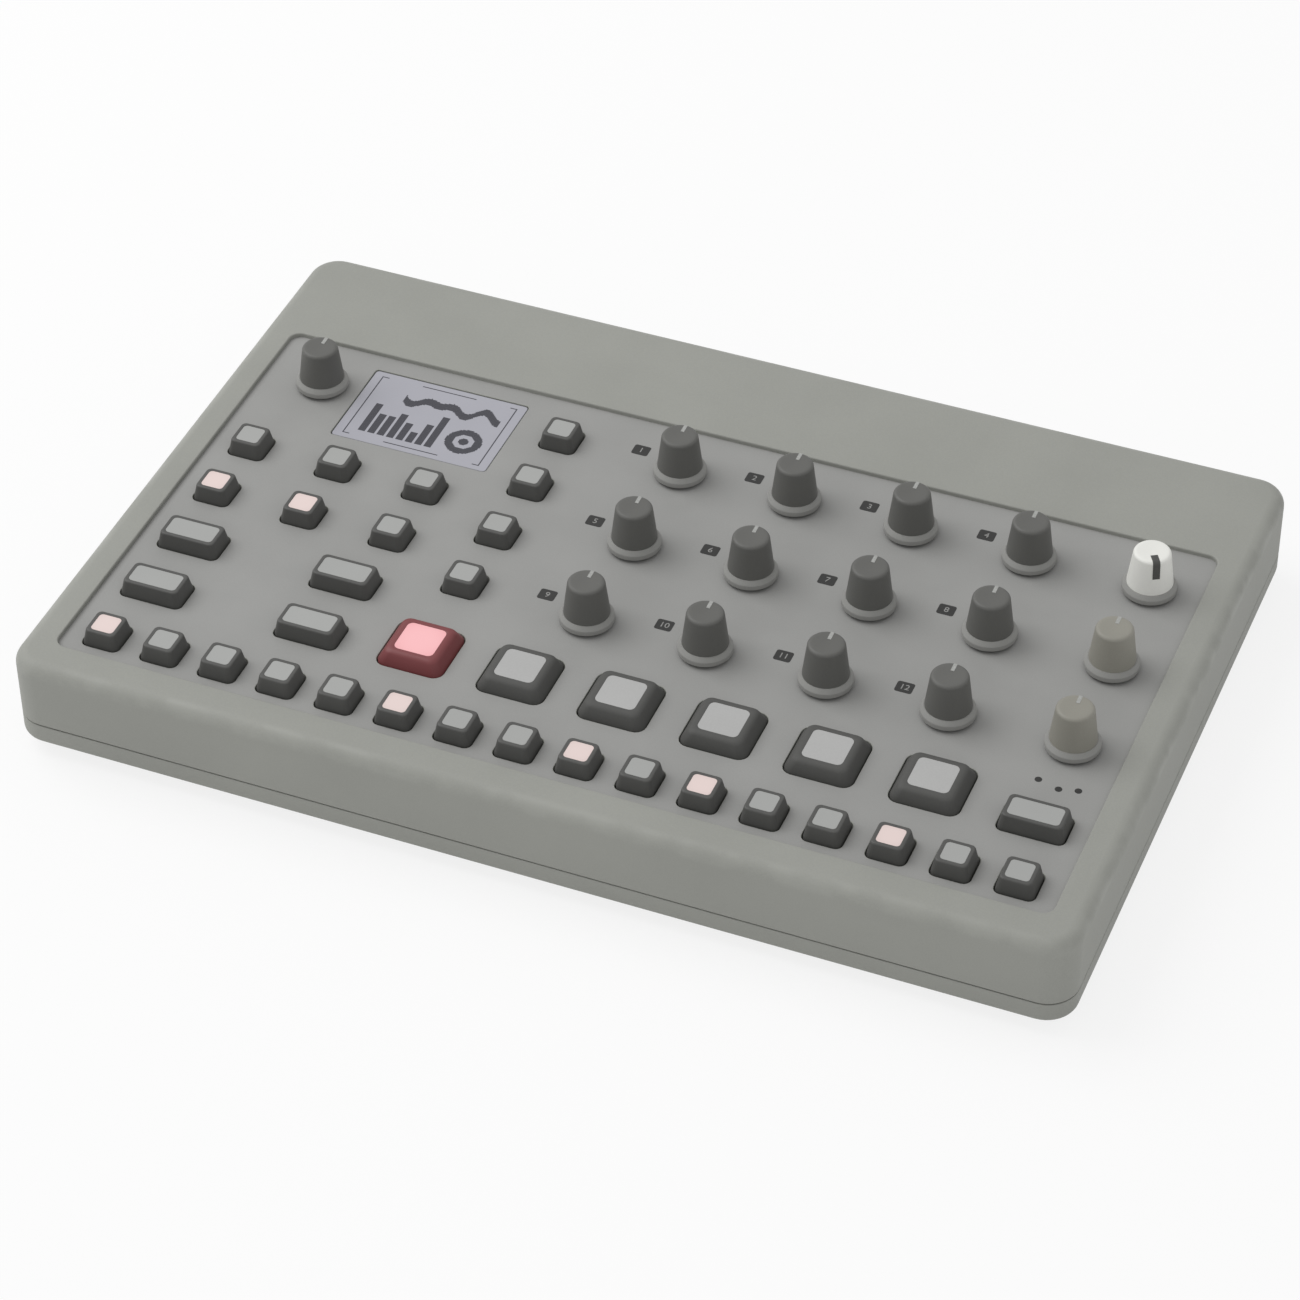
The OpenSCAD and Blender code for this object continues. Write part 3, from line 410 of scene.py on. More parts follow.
class Finish:
    """Material whose nodes are all made by one method."""

    def __init__(self, name):
        self.material = bpy.data.materials.new(name)
        self.material.use_nodes = True
        self.tree = self.material.node_tree
        self.tree.nodes.clear()

    def node(self, kind, settings=None, inputs=None, output=0):
        """Adds a node, sets it up, then fills or links its inputs. Gives one output."""
        made = self.tree.nodes.new(kind)
        for name, value in (settings or {}).items():
            setattr(made, name, value)
        for name, value in (inputs or {}).items():
            if isinstance(value, Value):
                self.tree.links.new(value.socket, made.inputs[name])
            else:
                made.inputs[name].default_value = value
        return Value(self, made.outputs[output]) if made.outputs else made

    def place(self, centre=(0, 0, 0)):
        """Object coordinates, counted from a centre."""
        coordinates = self.node("ShaderNodeTexCoord", output="Object")
        shift = [-c for c in centre]
        return self.node("ShaderNodeMapping", None, {"Vector": coordinates, "Location": shift})

    def stretched(self, place, scale):
        """The same place with its axes scaled, so that a pattern is drawn out along the smallest."""
        return self.node("ShaderNodeMapping", None, {"Vector": place, "Scale": scale})

    def axes(self, place):
        """The x, y and z of a place."""
        split = self.node("ShaderNodeSeparateXYZ", None, {"Vector": place}).socket.node
        return [Value(self, output) for output in split.outputs]

    def noise(self, place, size, detail=2.0):
        """Soft noise from 0 to 1, whose lumps are about this size."""
        return self.node("ShaderNodeTexNoise", None, {"Vector": place, "Scale": 1 / size, "Detail": detail})

    def blend(self, factor, first, second):
        """Colour between two colours."""
        inputs = {0: factor, 6: opaque(first), 7: opaque(second)}
        return self.node("ShaderNodeMix", {"data_type": "RGBA"}, inputs, output=2)

    def bump(self, height, depth):
        """Normal over a height from 0 to 1, this deep."""
        return self.node("ShaderNodeBump", None, {"Height": height, "Distance": depth})

    def surface(self, **inputs):
        """Ends the finish in one surface shader, and gives its material."""
        named = {name.replace("_", " "): value for name, value in inputs.items()}
        shader = self.node("ShaderNodeBsdfPrincipled", None, named)
        self.node("ShaderNodeOutputMaterial", None, {"Surface": shader})
        return self.material


def moulded(name, tone, grain=0.35, depth=0.018, roughness=0.58, cloud=0.05):
    """Moulded plastic or rubber: eroded grain, faint clouds in its colour, and uneven gloss.

    The grain's size and depth are millimetres. The clouds are lighter and darker by the share cloud.
    """
    finish = Finish(name)
    place = finish.place()
    clouds = finish.noise(place, size=22 * MM, detail=3)
    specks = finish.noise(place, size=grain * MM, detail=2)
    mix = clouds * 0.6 + specks * 0.4
    base = finish.blend(mix.ramp(0.3, 0.7), scaled(tone, 1 - cloud), scaled(tone, 1 + cloud))
    gloss = clouds.ramp(0.25, 0.75) * 0.1 + (roughness - 0.05)
    return finish.surface(
        Base_Color=base, Roughness=gloss, Normal=finish.bump(specks, depth * MM), Specular_IOR_Level=0.4)


def shell_finish(case):
    """The case: moulded grain, and patches along the top edge that are glossier and have a lighter colour
    painted on as a sheen.
    """
    finish = Finish("case_plastic")
    place = finish.place()
    x, y, z = finish.axes(place)
    edge = case.top_edge
    past_side = (abs(x) - (CASE.x / 2 - edge)).ramp(0, edge * 0.5)
    past_end = (abs(y) - (CASE.y / 2 - edge)).ramp(0, edge * 0.5)
    near_top = z.ramp(CASE_TOP - edge * 1.2, CASE_TOP - edge * 0.6)
    along_edge = (1 - (1 - past_side) * (1 - past_end)) * near_top
    clouds = finish.noise(place, size=30 * MM, detail=3)
    # polish and painted sheen: in patches along the top edge the roughness and grain drop, which is real gloss,
    # and the colour is painted lighter as a sheen
    polish_and_painted_sheen = finish.noise(place, size=9 * MM, detail=4).ramp(0.4, 0.62) * along_edge
    specks = finish.noise(place, size=0.4 * MM, detail=2)
    mix = clouds * 0.55 + specks * 0.45
    tone = case.shell_colour
    base = finish.blend(mix.ramp(0.3, 0.7), scaled(tone, 0.95), scaled(tone, 1.05))
    # painted sheen: the base colour turns lighter in patches along the top edge
    base = finish.blend(polish_and_painted_sheen * 0.3, base, scaled(tone, 1.2))
    gloss = clouds.ramp(0.25, 0.75) * 0.08 + 0.56 - polish_and_painted_sheen * 0.16
    grain = specks * (1 - polish_and_painted_sheen * 0.6)
    return finish.surface(
        Base_Color=base, Roughness=gloss, Normal=finish.bump(grain, 0.02 * MM), Specular_IOR_Level=0.4)


def glowing(name, tone, edge_tone, centre, reach, strength):
    """Satin top with a lamp under it. The lamp's glow is painted into the top's colour, which fades from one
    colour to another towards its edge, and the top also emits a little light.
    """
    finish = Finish(name)
    place = finish.place(centre)
    x, y, _ = finish.axes(place)
    glow_pool = 1 - (x * x + y * y).ramp(0, reach * reach)
    grain = finish.noise(place, size=0.3 * MM, detail=2)
    # painted glow: the base colour is brightest over the lamp and fades towards the edge
    base = finish.blend(glow_pool, edge_tone, tone)
    emitted = finish.blend(glow_pool, scaled(edge_tone, 0.5), tone)
    return finish.surface(
        Base_Color=base, Roughness=0.5, Normal=finish.bump(grain, 0.01 * MM),
        Emission_Color=emitted, Emission_Strength=strength)


def display_marks(column, row):
    """More than 0 where a pixel of the display is inked: bars, a trace, a broken frame and a ring."""
    def within(half_width, half_height):
        return (abs(column) < half_width) * (abs(row) < half_height)

    outer = within(FRAME_HALF_WIDTH, FRAME_HALF_HEIGHT)
    inner = within(FRAME_HALF_WIDTH - 1, FRAME_HALF_HEIGHT - 1)
    frame_line = outer * (1 - inner) * (abs(abs(column) - abs(row)) > FRAME_GAP)

    bar = (column / BAR_PITCH).maths("FLOOR")
    in_bar = (column / BAR_PITCH).maths("FRACT") < BAR_SHARE
    first, second = ((bar * turn).maths("SINE") * swing for turn, swing in BAR_WAVES)
    bars = in_bar * (row < first + second + BAR_LEVEL)
    bars = bars * (row > BARS_FOOT) * (column > BARS_LEFT) * (column < BARS_RIGHT)

    first, second = ((column * turn).maths("SINE") for turn in TRACE_TURNS)
    wave = first * second * TRACE_SWING + TRACE_LEVEL
    trace = (abs(row - wave) < TRACE_HALF_WIDTH) * (column > TRACE_LEFT) * (column < TRACE_RIGHT)

    aside, above = column - RING_X, row - RING_Y
    away = aside * aside + above * above
    ring = (away < RING_OUTER) * (away > RING_INNER) + (away < RING_CORE)
    return bars + trace + frame_line + ring


def display_finish(display, centre):
    """Display under clear plastic, whose marks are drawn in square pixels."""
    finish = Finish("display_face")
    place = finish.place(centre)
    x, y, _ = finish.axes(place)
    across, down = x / display.pixel, y / display.pixel
    marks = display_marks(across.maths("FLOOR") + 0.5, down.maths("FLOOR") + 0.5)
    in_column, in_row = (abs(axis.maths("FRACT") - 0.5) < PIXEL_HALF for axis in (across, down))
    ink = (marks > 0.5) * (in_column * in_row * INK_PIXEL + INK_SOLID)
    clouds = finish.noise(place, size=14 * MM, detail=2)
    field = finish.blend(clouds, scaled(display.field_colour, 0.95), scaled(display.field_colour, 1.03))
    shown = finish.blend(ink, field, display.mark_colour)
    smear = finish.noise(place, size=5 * MM, detail=3)
    return finish.surface(
        Base_Color=shown, Roughness=smear * 0.12 + 0.14, Emission_Color=shown, Emission_Strength=0.06)


def zinc_finish(name):
    """Zinc plate with fine drawn marks."""
    finish = Finish(name)
    place = finish.place()
    clouds = finish.noise(place, size=2 * MM, detail=4)
    scratches = finish.noise(finish.stretched(place, (12, 12, 1)), size=0.8 * MM, detail=3)
    return finish.surface(
        Base_Color=finish.blend(clouds, *ZINC), Metallic=1.0, Roughness=scratches * 0.2 + 0.26,
        Normal=finish.bump(scratches, 0.006 * MM))


def board_finish(name, low, high, steel=None):
    """Populated circuit board: green mask between two heights, black parts, and a steel socket.

    steel is the lowest and highest x of that socket, where there is one.
    """
    finish = Finish(name)
    place = finish.place()
    x, _, z = finish.axes(place)
    board = (z > low) * (z < high)
    traces = finish.noise(finish.stretched(place, (6, 1, 1)), size=3 * MM, detail=2).ramp(0.48, 0.52)
    specks = finish.noise(place, size=0.4 * MM, detail=2)
    parts = finish.blend(specks, *BOARD_PARTS)
    look = {"Roughness": 0.55 - board * 0.2, "Normal": finish.bump(specks, 0.01 * MM)}
    if steel:
        metal = (x > steel[0]) * (x < steel[1]) * (z > high)
        parts = finish.blend(metal, parts, SOCKET_STEEL)
        look.update(Metallic=metal, Roughness=look["Roughness"] - metal * 0.22)
    return finish.surface(Base_Color=finish.blend(board, parts, finish.blend(traces, *BOARD_MASK)), **look)


def foot_finish():
    """Black rubber with a dusty bloom."""
    finish = Finish("foot_rubber")
    place = finish.place()
    bloom = finish.noise(place, size=4 * MM, detail=4)
    grain = finish.noise(place, size=0.25 * MM, detail=2)
    return finish.surface(
        Base_Color=finish.blend(bloom.ramp(0.35, 0.75), *RUBBER), Roughness=bloom * 0.2 + 0.7,
        Normal=finish.bump(grain, 0.02 * MM))


def ink_finish(name, tone):
    """Screen-printed ink, a little worn."""
    finish = Finish(name)
    wear = finish.noise(finish.place(), size=0.5 * MM, detail=3)
    base = finish.blend(wear.ramp(0.35, 0.75), tone, scaled(tone, 1.25))
    return finish.surface(Base_Color=base, Roughness=wear * 0.1 + 0.5)


# ---------- modelling ----------

def at(x, y, z):
    """Where a flat shape faces up."""
    return Matrix.Translation((x, y, z))


def over(node, z):
    """Where a flat shape faces up at the middle of a CAD node."""
    place = middle(node)
    return at(place.x, place.y, z)


def under(x, y, z):
    """Where a flat shape faces down."""
    return at(x, y, z) @ Matrix.Rotation(math.pi, 4, "X")


def behind(x, y, z):
    """Where a flat shape stands upright and faces back."""
    return at(x, y, z) @ Matrix.Rotation(-math.pi / 2, 4, "X")


def outline(bm, where, width, depth, corner, segments=6):
    """Flat face with rounded corners, facing up before it is placed."""
    corners = bmesh.ops.create_grid(bm, x_segments=1, y_segments=1, size=0.5)["verts"]
    bmesh.ops.scale(bm, vec=(width, depth, 1), verts=corners)
    arcs = bmesh.ops.bevel(
        bm, geom=corners, offset=corner, offset_type="OFFSET", segments=segments, profile=0.5,
        affect="VERTICES", material=-1)["verts"]
    bmesh.ops.transform(bm, matrix=where, verts=arcs)
    return arcs[0].link_faces[0]


def disc(bm, where, radius, segments=40):
    """Flat round face, facing up before it is placed."""
    rim = bmesh.ops.create_circle(bm, cap_ends=True, radius=radius, segments=segments, matrix=where)["verts"]
    return rim[0].link_faces[0]


def slab(bm, face, height):
    """Makes a flat face the underside of a slab, and gives the slab's upper side."""
    made = bmesh.ops.extrude_face_region(bm, geom=[face])["geom"]
    top = next(part for part in made if isinstance(part, bmesh.types.BMFace))
    bmesh.ops.translate(bm, vec=(0, 0, height), verts=top.verts)
    return top


def block(bm, where, width, depth, height):
    """Closed block standing on its place."""
    centred = where @ at(0, 0, height / 2) @ Matrix.Diagonal((width, depth, height, 1))
    bmesh.ops.create_cube(bm, size=1, matrix=centred)


def step(bm, face, inward, along):
    """Carries a face on: inward by one length, and along its normal by another. Gives the new faces."""
    face.normal_update()
    return bmesh.ops.inset_region(
        bm, faces=[face], thickness=inward, depth=along, use_even_offset=True, use_boundary=True)["faces"]


def taper(bm, face, inward, along):
    """Carries a face on like a step, but keeps its rounded corners in proportion."""
    step(bm, face, 0, along)
    centre = face.calc_center_bounds()
    reach = [max(abs(v.co[k] - centre[k]) for v in face.verts) for k in range(2)]
    bmesh.ops.scale(
        bm, vec=(1 - inward / reach[0], 1 - inward / reach[1], 1), space=Matrix.Translation(-centre),
        verts=face.verts)


def quarter(radius, segments, start=0.0):
    """Steps across and along an arc that ends a quarter turn from upright."""
    turns = [start + (math.pi / 2 - start) * k / segments for k in range(segments + 1)]
    return [
        (radius * (math.cos(a) - math.cos(b)), radius * (math.sin(b) - math.sin(a)))
        for a, b in zip(turns, turns[1:])
    ]


def round_over(bm, face, radius, segments):
    """Ends a wall in a rounded edge."""
    for across, along in quarter(radius, segments):
        step(bm, face, across, along)


def sink(bm, face, edge, depth):
    """Sinks a flat face as a pocket with a rounded edge, and gives the pocket's upper rim."""
    rim = None
    arc_steps = list(reversed(quarter(edge, 3))) if edge else []
    for across, along in [(across, -along) for across, along in arc_steps] + [(0, edge - depth)]:
        ring = step(bm, face, across, along)
        rim = rim or [e for made in ring for e in made.edges if e.is_boundary]
    return rim


def unface(bm, face):
    """Takes a face out, and gives the edges that it leaves open."""
    edges = face.edges[:]
    bmesh.ops.delete(bm, geom=[face], context="FACES_ONLY")
    return edges


def fill(bm, face, rims, material=0):
    """Fills a flat face again, around the rims of what opens in it."""
    edges = unface(bm, face) + [e for rim in rims for e in rim]
    for part in bmesh.ops.triangle_fill(bm, edges=edges, use_beauty=True, use_dissolve=False)["geom"]:
        if isinstance(part, bmesh.types.BMFace):
            part.material_index = material


def upright(bm, y):
    """Largest flat face that stands in the plane y."""
    standing = [face for face in bm.faces if all(abs(v.co.y - y) < FLATNESS for v in face.verts)]
    return max(standing, key=lambda face: face.calc_area())


def join(bm, part, where, material=0):
    """Adds a part to a mesh at its place, once its double vertices are merged."""
    bmesh.ops.remove_doubles(part, verts=part.verts, dist=MERGE_DISTANCE)
    bmesh.ops.transform(part, matrix=where, verts=part.verts)
    for face in part.faces:
        face.material_index = material
    carrier = bpy.data.meshes.new("part")
    part.to_mesh(carrier)
    part.free()
    bm.from_mesh(carrier)
    bpy.data.meshes.remove(carrier)


def spun(bm, where, points, segments=64, material=0):
    """Closed solid of revolution about Z, from points (radius, height), before it is placed."""
    part = bmesh.new()
    verts = [part.verts.new((radius, 0, height)) for radius, height in points]
    edges = [part.edges.new(pair) for pair in zip(verts, verts[1:])]
    bmesh.ops.spin(
        part, geom=verts + edges, cent=(0, 0, 0), axis=(0, 0, 1), angle=2 * math.pi, steps=segments,
        use_merge=True)
    join(bm, part, where, material)


def ring_points(inner, outer, low, high, edge=0.0):
    """Section of a ring, with its outer upper edge bevelled."""
    return [(inner, low), (outer, low), (outer, high - edge), (outer - edge, high), (inner, high), (inner, low)]


def arc(centre, radius, start, end, segments):
    """Points on an arc from one angle to another, in degrees."""
    turns = [math.radians(start + (end - start) * k / segments) for k in range(segments + 1)]
    return [(centre[0] + radius * math.cos(a), centre[1] + radius * math.sin(a)) for a in turns]


def piece(name, bm, finishes, body, slot, *replaced):
    """Makes an object of a mesh, finishes it, and lets it ride on a body."""
    bmesh.ops.recalc_face_normals(bm, faces=bm.faces)
    for face in bm.faces:
        face.smooth = True
    for edge in bm.edges:
        edge.smooth = edge.calc_face_angle(0) < SHARP_ANGLE
    mesh = bpy.data.meshes.new(name)
    bm.to_mesh(mesh)
    bm.free()
    for finish in finishes:
        mesh.materials.append(finish)
    made = bpy.data.objects.new(name, mesh)
    bpy.context.scene.collection.objects.link(made)
    weighted = made.modifiers.new("Weighted normals", "WEIGHTED_NORMAL")
    weighted.keep_sharp = True
    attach(made, body)
    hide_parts(*replaced)


# ---------- shared layout ----------

# The lowest and highest z of the two circuit boards themselves, and the places of what is built around them.
CONTROL_BOARD = (15 * MM, 16.6 * MM)
CONNECTOR_BOARD = (10.15 * MM, 11.75 * MM)
PEG_XS = [-88 * MM, -65 * MM, 4 * MM, 84 * MM]
PEG_Y = 66.95 * MM
PHONE_XS = [102 * MM, 66 * MM, 42 * MM]
MINI_XS = [-34 * MM, -54 * MM]
POWER_X = -100 * MM
USB_X = -76 * MM
RIB_BAYS = 6  # bays that the ribs make of the tray's width
DOT_PLACES = [(109.5 * MM, -37.2 * MM), (114.9 * MM, -38.7 * MM), (119.4 * MM, -37.6 * MM)]


def panel_heights(case):
    """Heights of the panel's upper face and of its underside."""
    panel_top = CASE_TOP - case.recess
    return panel_top, panel_top - case.panel


def four_corners(inset):
    """Places in the case's four corners, as far in from its front, back and sides."""
    x = CASE.x / 2 - inset
    y = CASE.y / 2 - inset
    return [(-x, -y), (x, -y), (-x, y), (x, y)]


def case_screws(case):
    """Places of the six screws that hold the case together."""
    inner = [(-case.inner_screw_x, case.inner_screw_y), (case.inner_screw_x, case.inner_screw_y)]
    return four_corners(case.screw_inset) + inner


def pillars(case):
    """Places of the eight pillars that carry the control board."""
    behind_steps = middle("step_key_1").y + span("step_key_1").y / 2 + case.pillar_gap
    menu = middle("menu_key_1", "menu_key_4").y
    between = [
        ("param_knob_5", "param_knob_10"), ("param_knob_2", "param_knob_7"), ("param_knob_4", "send_knob_1")]
    return [
        (middle("menu_key_1", "menu_key_2").x, menu),
        (middle("menu_key_3", "select_key_1").x, menu),
        (middle("transport_key_1", "transport_key_2").x, behind_steps),
        (middle("pad_3", "pad_4").x, behind_steps),
        (middle("pad_6", "roll_key").x, behind_steps),
    ] + [middle(*pair)[:2] for pair in between]


# ---------- operators ----------

class MakeStage(bpy.types.Operator):
    """Camera, pale floor, even light and one large soft lamp"""
    bl_idname = "drum.make_stage"
    bl_label = "Stage"

    def execute(self, context):
        stage = context.scene.drum_stage
        self.make_camera(stage)
        self.make_floor(stage)
        self.make_sky(stage)
        self.make_lamp(stage)
        context.scene.view_settings.view_transform = "Standard"
        return {"FINISHED"}

    def make_camera(self, stage):
        azimuth, elevation = stage.azimuth, stage.elevation
        back = Vector((
            math.sin(azimuth) * math.cos(elevation), -math.cos(azimuth) * math.cos(elevation),
            math.sin(elevation)))
        right = Vector((math.cos(azimuth), math.sin(azimuth), 0))
        right = Matrix.Rotation(stage.roll, 3, back) @ right
        up = back.cross(right)
        place = back * stage.distance - right * stage.aim_left - up * stage.aim_low
        place.z += TRAY_BOTTOM
        data = bpy.data.cameras.new("camera")
        data.lens = stage.lens
        data.clip_start = stage.near
        data.clip_end = stage.far
        camera = bpy.data.objects.new("camera", data)
        camera.matrix_world = Matrix.Translation(place) @ Matrix((right, up, back)).transposed().to_4x4()
        bpy.context.scene.collection.objects.link(camera)
        bpy.context.scene.camera = camera

    def make_floor(self, stage):
        bm = bmesh.new()
        bmesh.ops.create_grid(bm, x_segments=1, y_segments=1, size=stage.floor_size / 2)
        mesh = bpy.data.meshes.new("floor")
        bm.to_mesh(mesh)
        bm.free()
        finish = Finish("floor")
        path = finish.node("ShaderNodeLightPath")
        seen = [Value(finish, path.socket.node.outputs[name]) for name in (
            "Is Camera Ray", "Is Glossy Ray", "Is Transmission Ray")]
        white = (seen[0] + seen[1] + seen[2]) * stage.white_share
        shaded = finish.node("ShaderNodeBsdfDiffuse", None, {"Color": opaque(stage.floor_colour)})
        plain = finish.node("ShaderNodeEmission", None, {"Color": (1, 1, 1, 1), "Strength": 1})
        mix = finish.node("ShaderNodeMixShader", None, {0: white, 1: shaded, 2: plain})
        finish.node("ShaderNodeOutputMaterial", None, {"Surface": mix})
        mesh.materials.append(finish.material)
        floor = bpy.data.objects.new("floor", mesh)
        bpy.context.scene.collection.objects.link(floor)

    def make_sky(self, stage):
        world = bpy.data.worlds.new("sky")
        world.use_nodes = True
        tree = world.node_tree
        tree.nodes.clear()
        path = tree.nodes.new("ShaderNodeLightPath")
        strength = tree.nodes.new("ShaderNodeMapRange")
        strength.inputs["To Min"].default_value = stage.sky
        strength.inputs["To Max"].default_value = 1
        sky = tree.nodes.new("ShaderNodeBackground")
        sky.inputs["Color"].default_value = (1, 1, 1, 1)
        out = tree.nodes.new("ShaderNodeOutputWorld")
        tree.links.new(path.outputs["Is Camera Ray"], strength.inputs["Value"])
        tree.links.new(strength.outputs[0], sky.inputs["Strength"])
        tree.links.new(sky.outputs[0], out.inputs["Surface"])
        bpy.context.scene.world = world

    def make_lamp(self, stage):
        data = bpy.data.lights.new("soft_lamp", "AREA")
        data.energy = stage.lamp
        data.size = stage.lamp_size
        lamp = bpy.data.objects.new("soft_lamp", data)
        lamp.location = (-stage.lamp_left, stage.lamp_back, stage.lamp_height)
        lamp.rotation_euler = (-lamp.location).to_track_quat("-Z", "Y").to_euler()
        bpy.context.scene.collection.objects.link(lamp)


class MakeTopCase(bpy.types.Operator):
    """Moulded top case with its recessed panel, openings, bosses and pillars"""
    bl_idname = "drum.make_top_case"
    bl_label = "Top case"

    def execute(self, context):
        scene = context.scene
        case = scene.drum_case
        panel_top, panel_under = panel_heights(case)
        bm = bmesh.new()
        base = outline(bm, at(0, 0, SEAM + case.seam_edge), CASE.x, CASE.y, case.corner, segments=10)
        roof = slab(bm, base, CASE.z - case.seam_edge - case.top_edge)
        round_over(bm, roof, case.top_edge, segments=8)
        round_over(bm, base, case.seam_edge, segments=3)
        step(bm, base, case.skin - case.seam_edge, 0)
        ledge = case.lip + case.lip_room
        step(bm, base, 0, -ledge)
        step(bm, base, case.wall - case.skin, 0)
        step(bm, base, 0, ledge - (panel_under - SEAM))

        edge = case.border_edge
        width = CASE.x - 2 * case.border_side
        depth = CASE.y - case.border_front - case.border_back
        panel_y = (case.border_front - case.border_back) / 2
        panel = outline(
            bm, at(0, panel_y, CASE_TOP), width + 2 * edge, depth + 2 * edge, case.panel_corner + edge,
            segments=8)
        fill(bm, roof, [sink(bm, panel, edge, case.recess)])
        openings = self.panel_faces(bm, scene, panel_top)
        rims = [sink(bm, face, case.opening_edge, case.panel) for face in openings]
        fill(bm, panel, rims, material=1)
        fill(bm, base, [unface(bm, face) for face in openings])

        sockets = self.rear_faces(bm, scene)
        rims = [sink(bm, face, case.opening_edge, case.wall) for face in sockets]
        fill(bm, upright(bm, REAR), rims)
        fill(bm, upright(bm, REAR - case.wall), [unface(bm, face) for face in sockets])

        post_top = panel_under + OVERLAP
        boss = ring_points(case.thread, case.boss, SEAM, post_top)
        for x, y in case_screws(case):
            spun(bm, at(x, y, 0), boss, segments=32)
        pillar = ring_points(case.thread, case.pillar, CONTROL_BOARD[1], post_top)
        for x, y in pillars(case):
            spun(bm, at(x, y, 0), pillar, segments=32)
        piece(
            "top_case_shell", bm, [shell_finish(case), moulded("panel_plastic", case.panel_colour)],
            "case", "case", "top_case")
        return {"FINISHED"}

    def panel_faces(self, bm, scene, height):
        """Flat faces at the panel's openings, as wide as the openings with their rounded edges."""
        case, keys, display = scene.drum_case, scene.drum_keys, scene.drum_display
        edge = case.opening_edge
        grown = 2 * (edge - keys.lap)
        faces = []
        for nodes, cap_corner in ((KEYS, keys.key_corner), (PADS, keys.pad_corner)):
            corner = cap_corner + keys.gap + edge
            for node in nodes:
                size = span(node)
                faces.append(outline(
                    bm, over(node, height), size.x + grown, size.y + grown, corner, segments=5))
        faces += [disc(bm, over(node, height), case.knob_opening + edge, segments=32) for node in KNOBS]
        faces.append(outline(
            bm, over("display", height), display.width + 2 * edge, display.depth + 2 * edge,
            display.corner + edge))
        return faces

    def rear_faces(self, bm, scene):
        """Flat faces at the rear wall's openings, as wide as the openings with their rounded edges."""
        sockets = scene.drum_sockets
        edge = scene.drum_case.opening_edge
        grown = sockets.clearance + edge
        round_openings = [(x, sockets.phone_height, sockets.phone_nose, 40) for x in PHONE_XS]
        round_openings += [(x, sockets.mini_height, sockets.mini_nose, 32) for x in MINI_XS]
        round_openings.append((POWER_X, sockets.power_height, sockets.power_nose, 32))
        faces = [
            disc(bm, behind(x, REAR, height), nose + grown, segments)
            for x, height, nose, segments in round_openings]
        usb_grown = 2 * (sockets.usb_clearance + edge)
        usb_height = sockets.usb_depth + usb_grown
        round_end = usb_height * 0.49  # a hair under half, so that two corners never meet
        faces.append(outline(
            bm, behind(USB_X, REAR, sockets.usb_height), sockets.usb_width + usb_grown, usb_height, round_end,
            segments=8))
        return faces


class MakeTray(bpy.types.Operator):
    """Bottom tray with its lip, ribs, pegs, screw bosses and seats for the feet"""
    bl_idname = "drum.make_tray"
    bl_label = "Bottom tray"

    def execute(self, context):
        case = context.scene.drum_case
        foot = context.scene.drum_feet
        tray_top = SEAM - case.seam_gap
        floor_top = TRAY_BOTTOM + case.floor
        bm = bmesh.new()
        base = outline(bm, at(0, 0, TRAY_BOTTOM + case.bottom_edge), CASE.x, CASE.y, case.corner, segments=10)
        top = slab(bm, base, tray_top - TRAY_BOTTOM - case.bottom_edge - case.seam_edge)
        round_over(bm, base, case.bottom_edge, segments=5)
        round_over(bm, top, case.seam_edge, segments=3)
        step(bm, top, case.skin + case.lip_play - case.seam_edge, 0)
        step(bm, top, 0, case.seam_gap + case.lip)
        step(bm, top, case.wall - case.skin - case.lip_play, 0)
        step(bm, top, 0, floor_top - SEAM - case.lip)

        underside_rims = []
        floor_rims = []
        for x, y in case_screws(case):
            face = disc(bm, under(x, y, TRAY_BOTTOM), case.screw_recess + case.opening_edge, segments=32)
            underside_rims.append(sink(bm, face, case.opening_edge, case.screw_seat))
            step(bm, face, case.screw_recess - case.screw_hole, 0)
            step(bm, face, 0, TRAY_BOTTOM + case.screw_seat - SEAM)
            step(bm, face, case.screw_hole - case.boss, 0)
            step(bm, face, 0, SEAM - floor_top)
            floor_rims.append(unface(bm, face))
        for x, y in four_corners(foot.inset):
            face = disc(bm, under(x, y, TRAY_BOTTOM), foot.radius + foot.play + case.opening_edge, segments=48)
            underside_rims.append(sink(bm, face, case.opening_edge, foot.seat))
        fill(bm, base, underside_rims)
        fill(bm, top, floor_rims)
        self.add_ribs(bm, case, floor_top)
        self.add_pegs(bm, case, floor_top)
        piece("bottom_tray", bm, [shell_finish(case)], "case", "case", "bottom_case")
        return {"FINISHED"}

    def add_ribs(self, bm, case, floor_top):
        """Ribs from the front to the back of the floor, and one across them."""
        inner_width = CASE.x - 2 * case.wall
        inner_depth = CASE.y - 2 * case.wall
        rib_foot, rib_height = floor_top - OVERLAP, case.rib + OVERLAP
        for k in range(1, RIB_BAYS):
            x = (k / RIB_BAYS - 0.5) * inner_width
            block(bm, at(x, 0, rib_foot), case.rib_width, inner_depth + OVERLAP, rib_height)
        block(bm, at(0, 0, rib_foot), inner_width + OVERLAP, case.rib_width, rib_height)

    def add_pegs(self, bm, case, floor_top):
        """Posts under the connector board, with pegs that reach through it."""
        board_low, board_high = CONNECTOR_BOARD
        for x in PEG_XS:
            post = disc(bm, at(x, PEG_Y, floor_top - OVERLAP), case.peg_base, segments=24)
            slab(bm, post, board_low - floor_top + OVERLAP)
            peg = disc(bm, at(x, PEG_Y, board_low - OVERLAP), case.peg, segments=24)
            slab(bm, peg, board_high - board_low + OVERLAP + case.peg_proud)


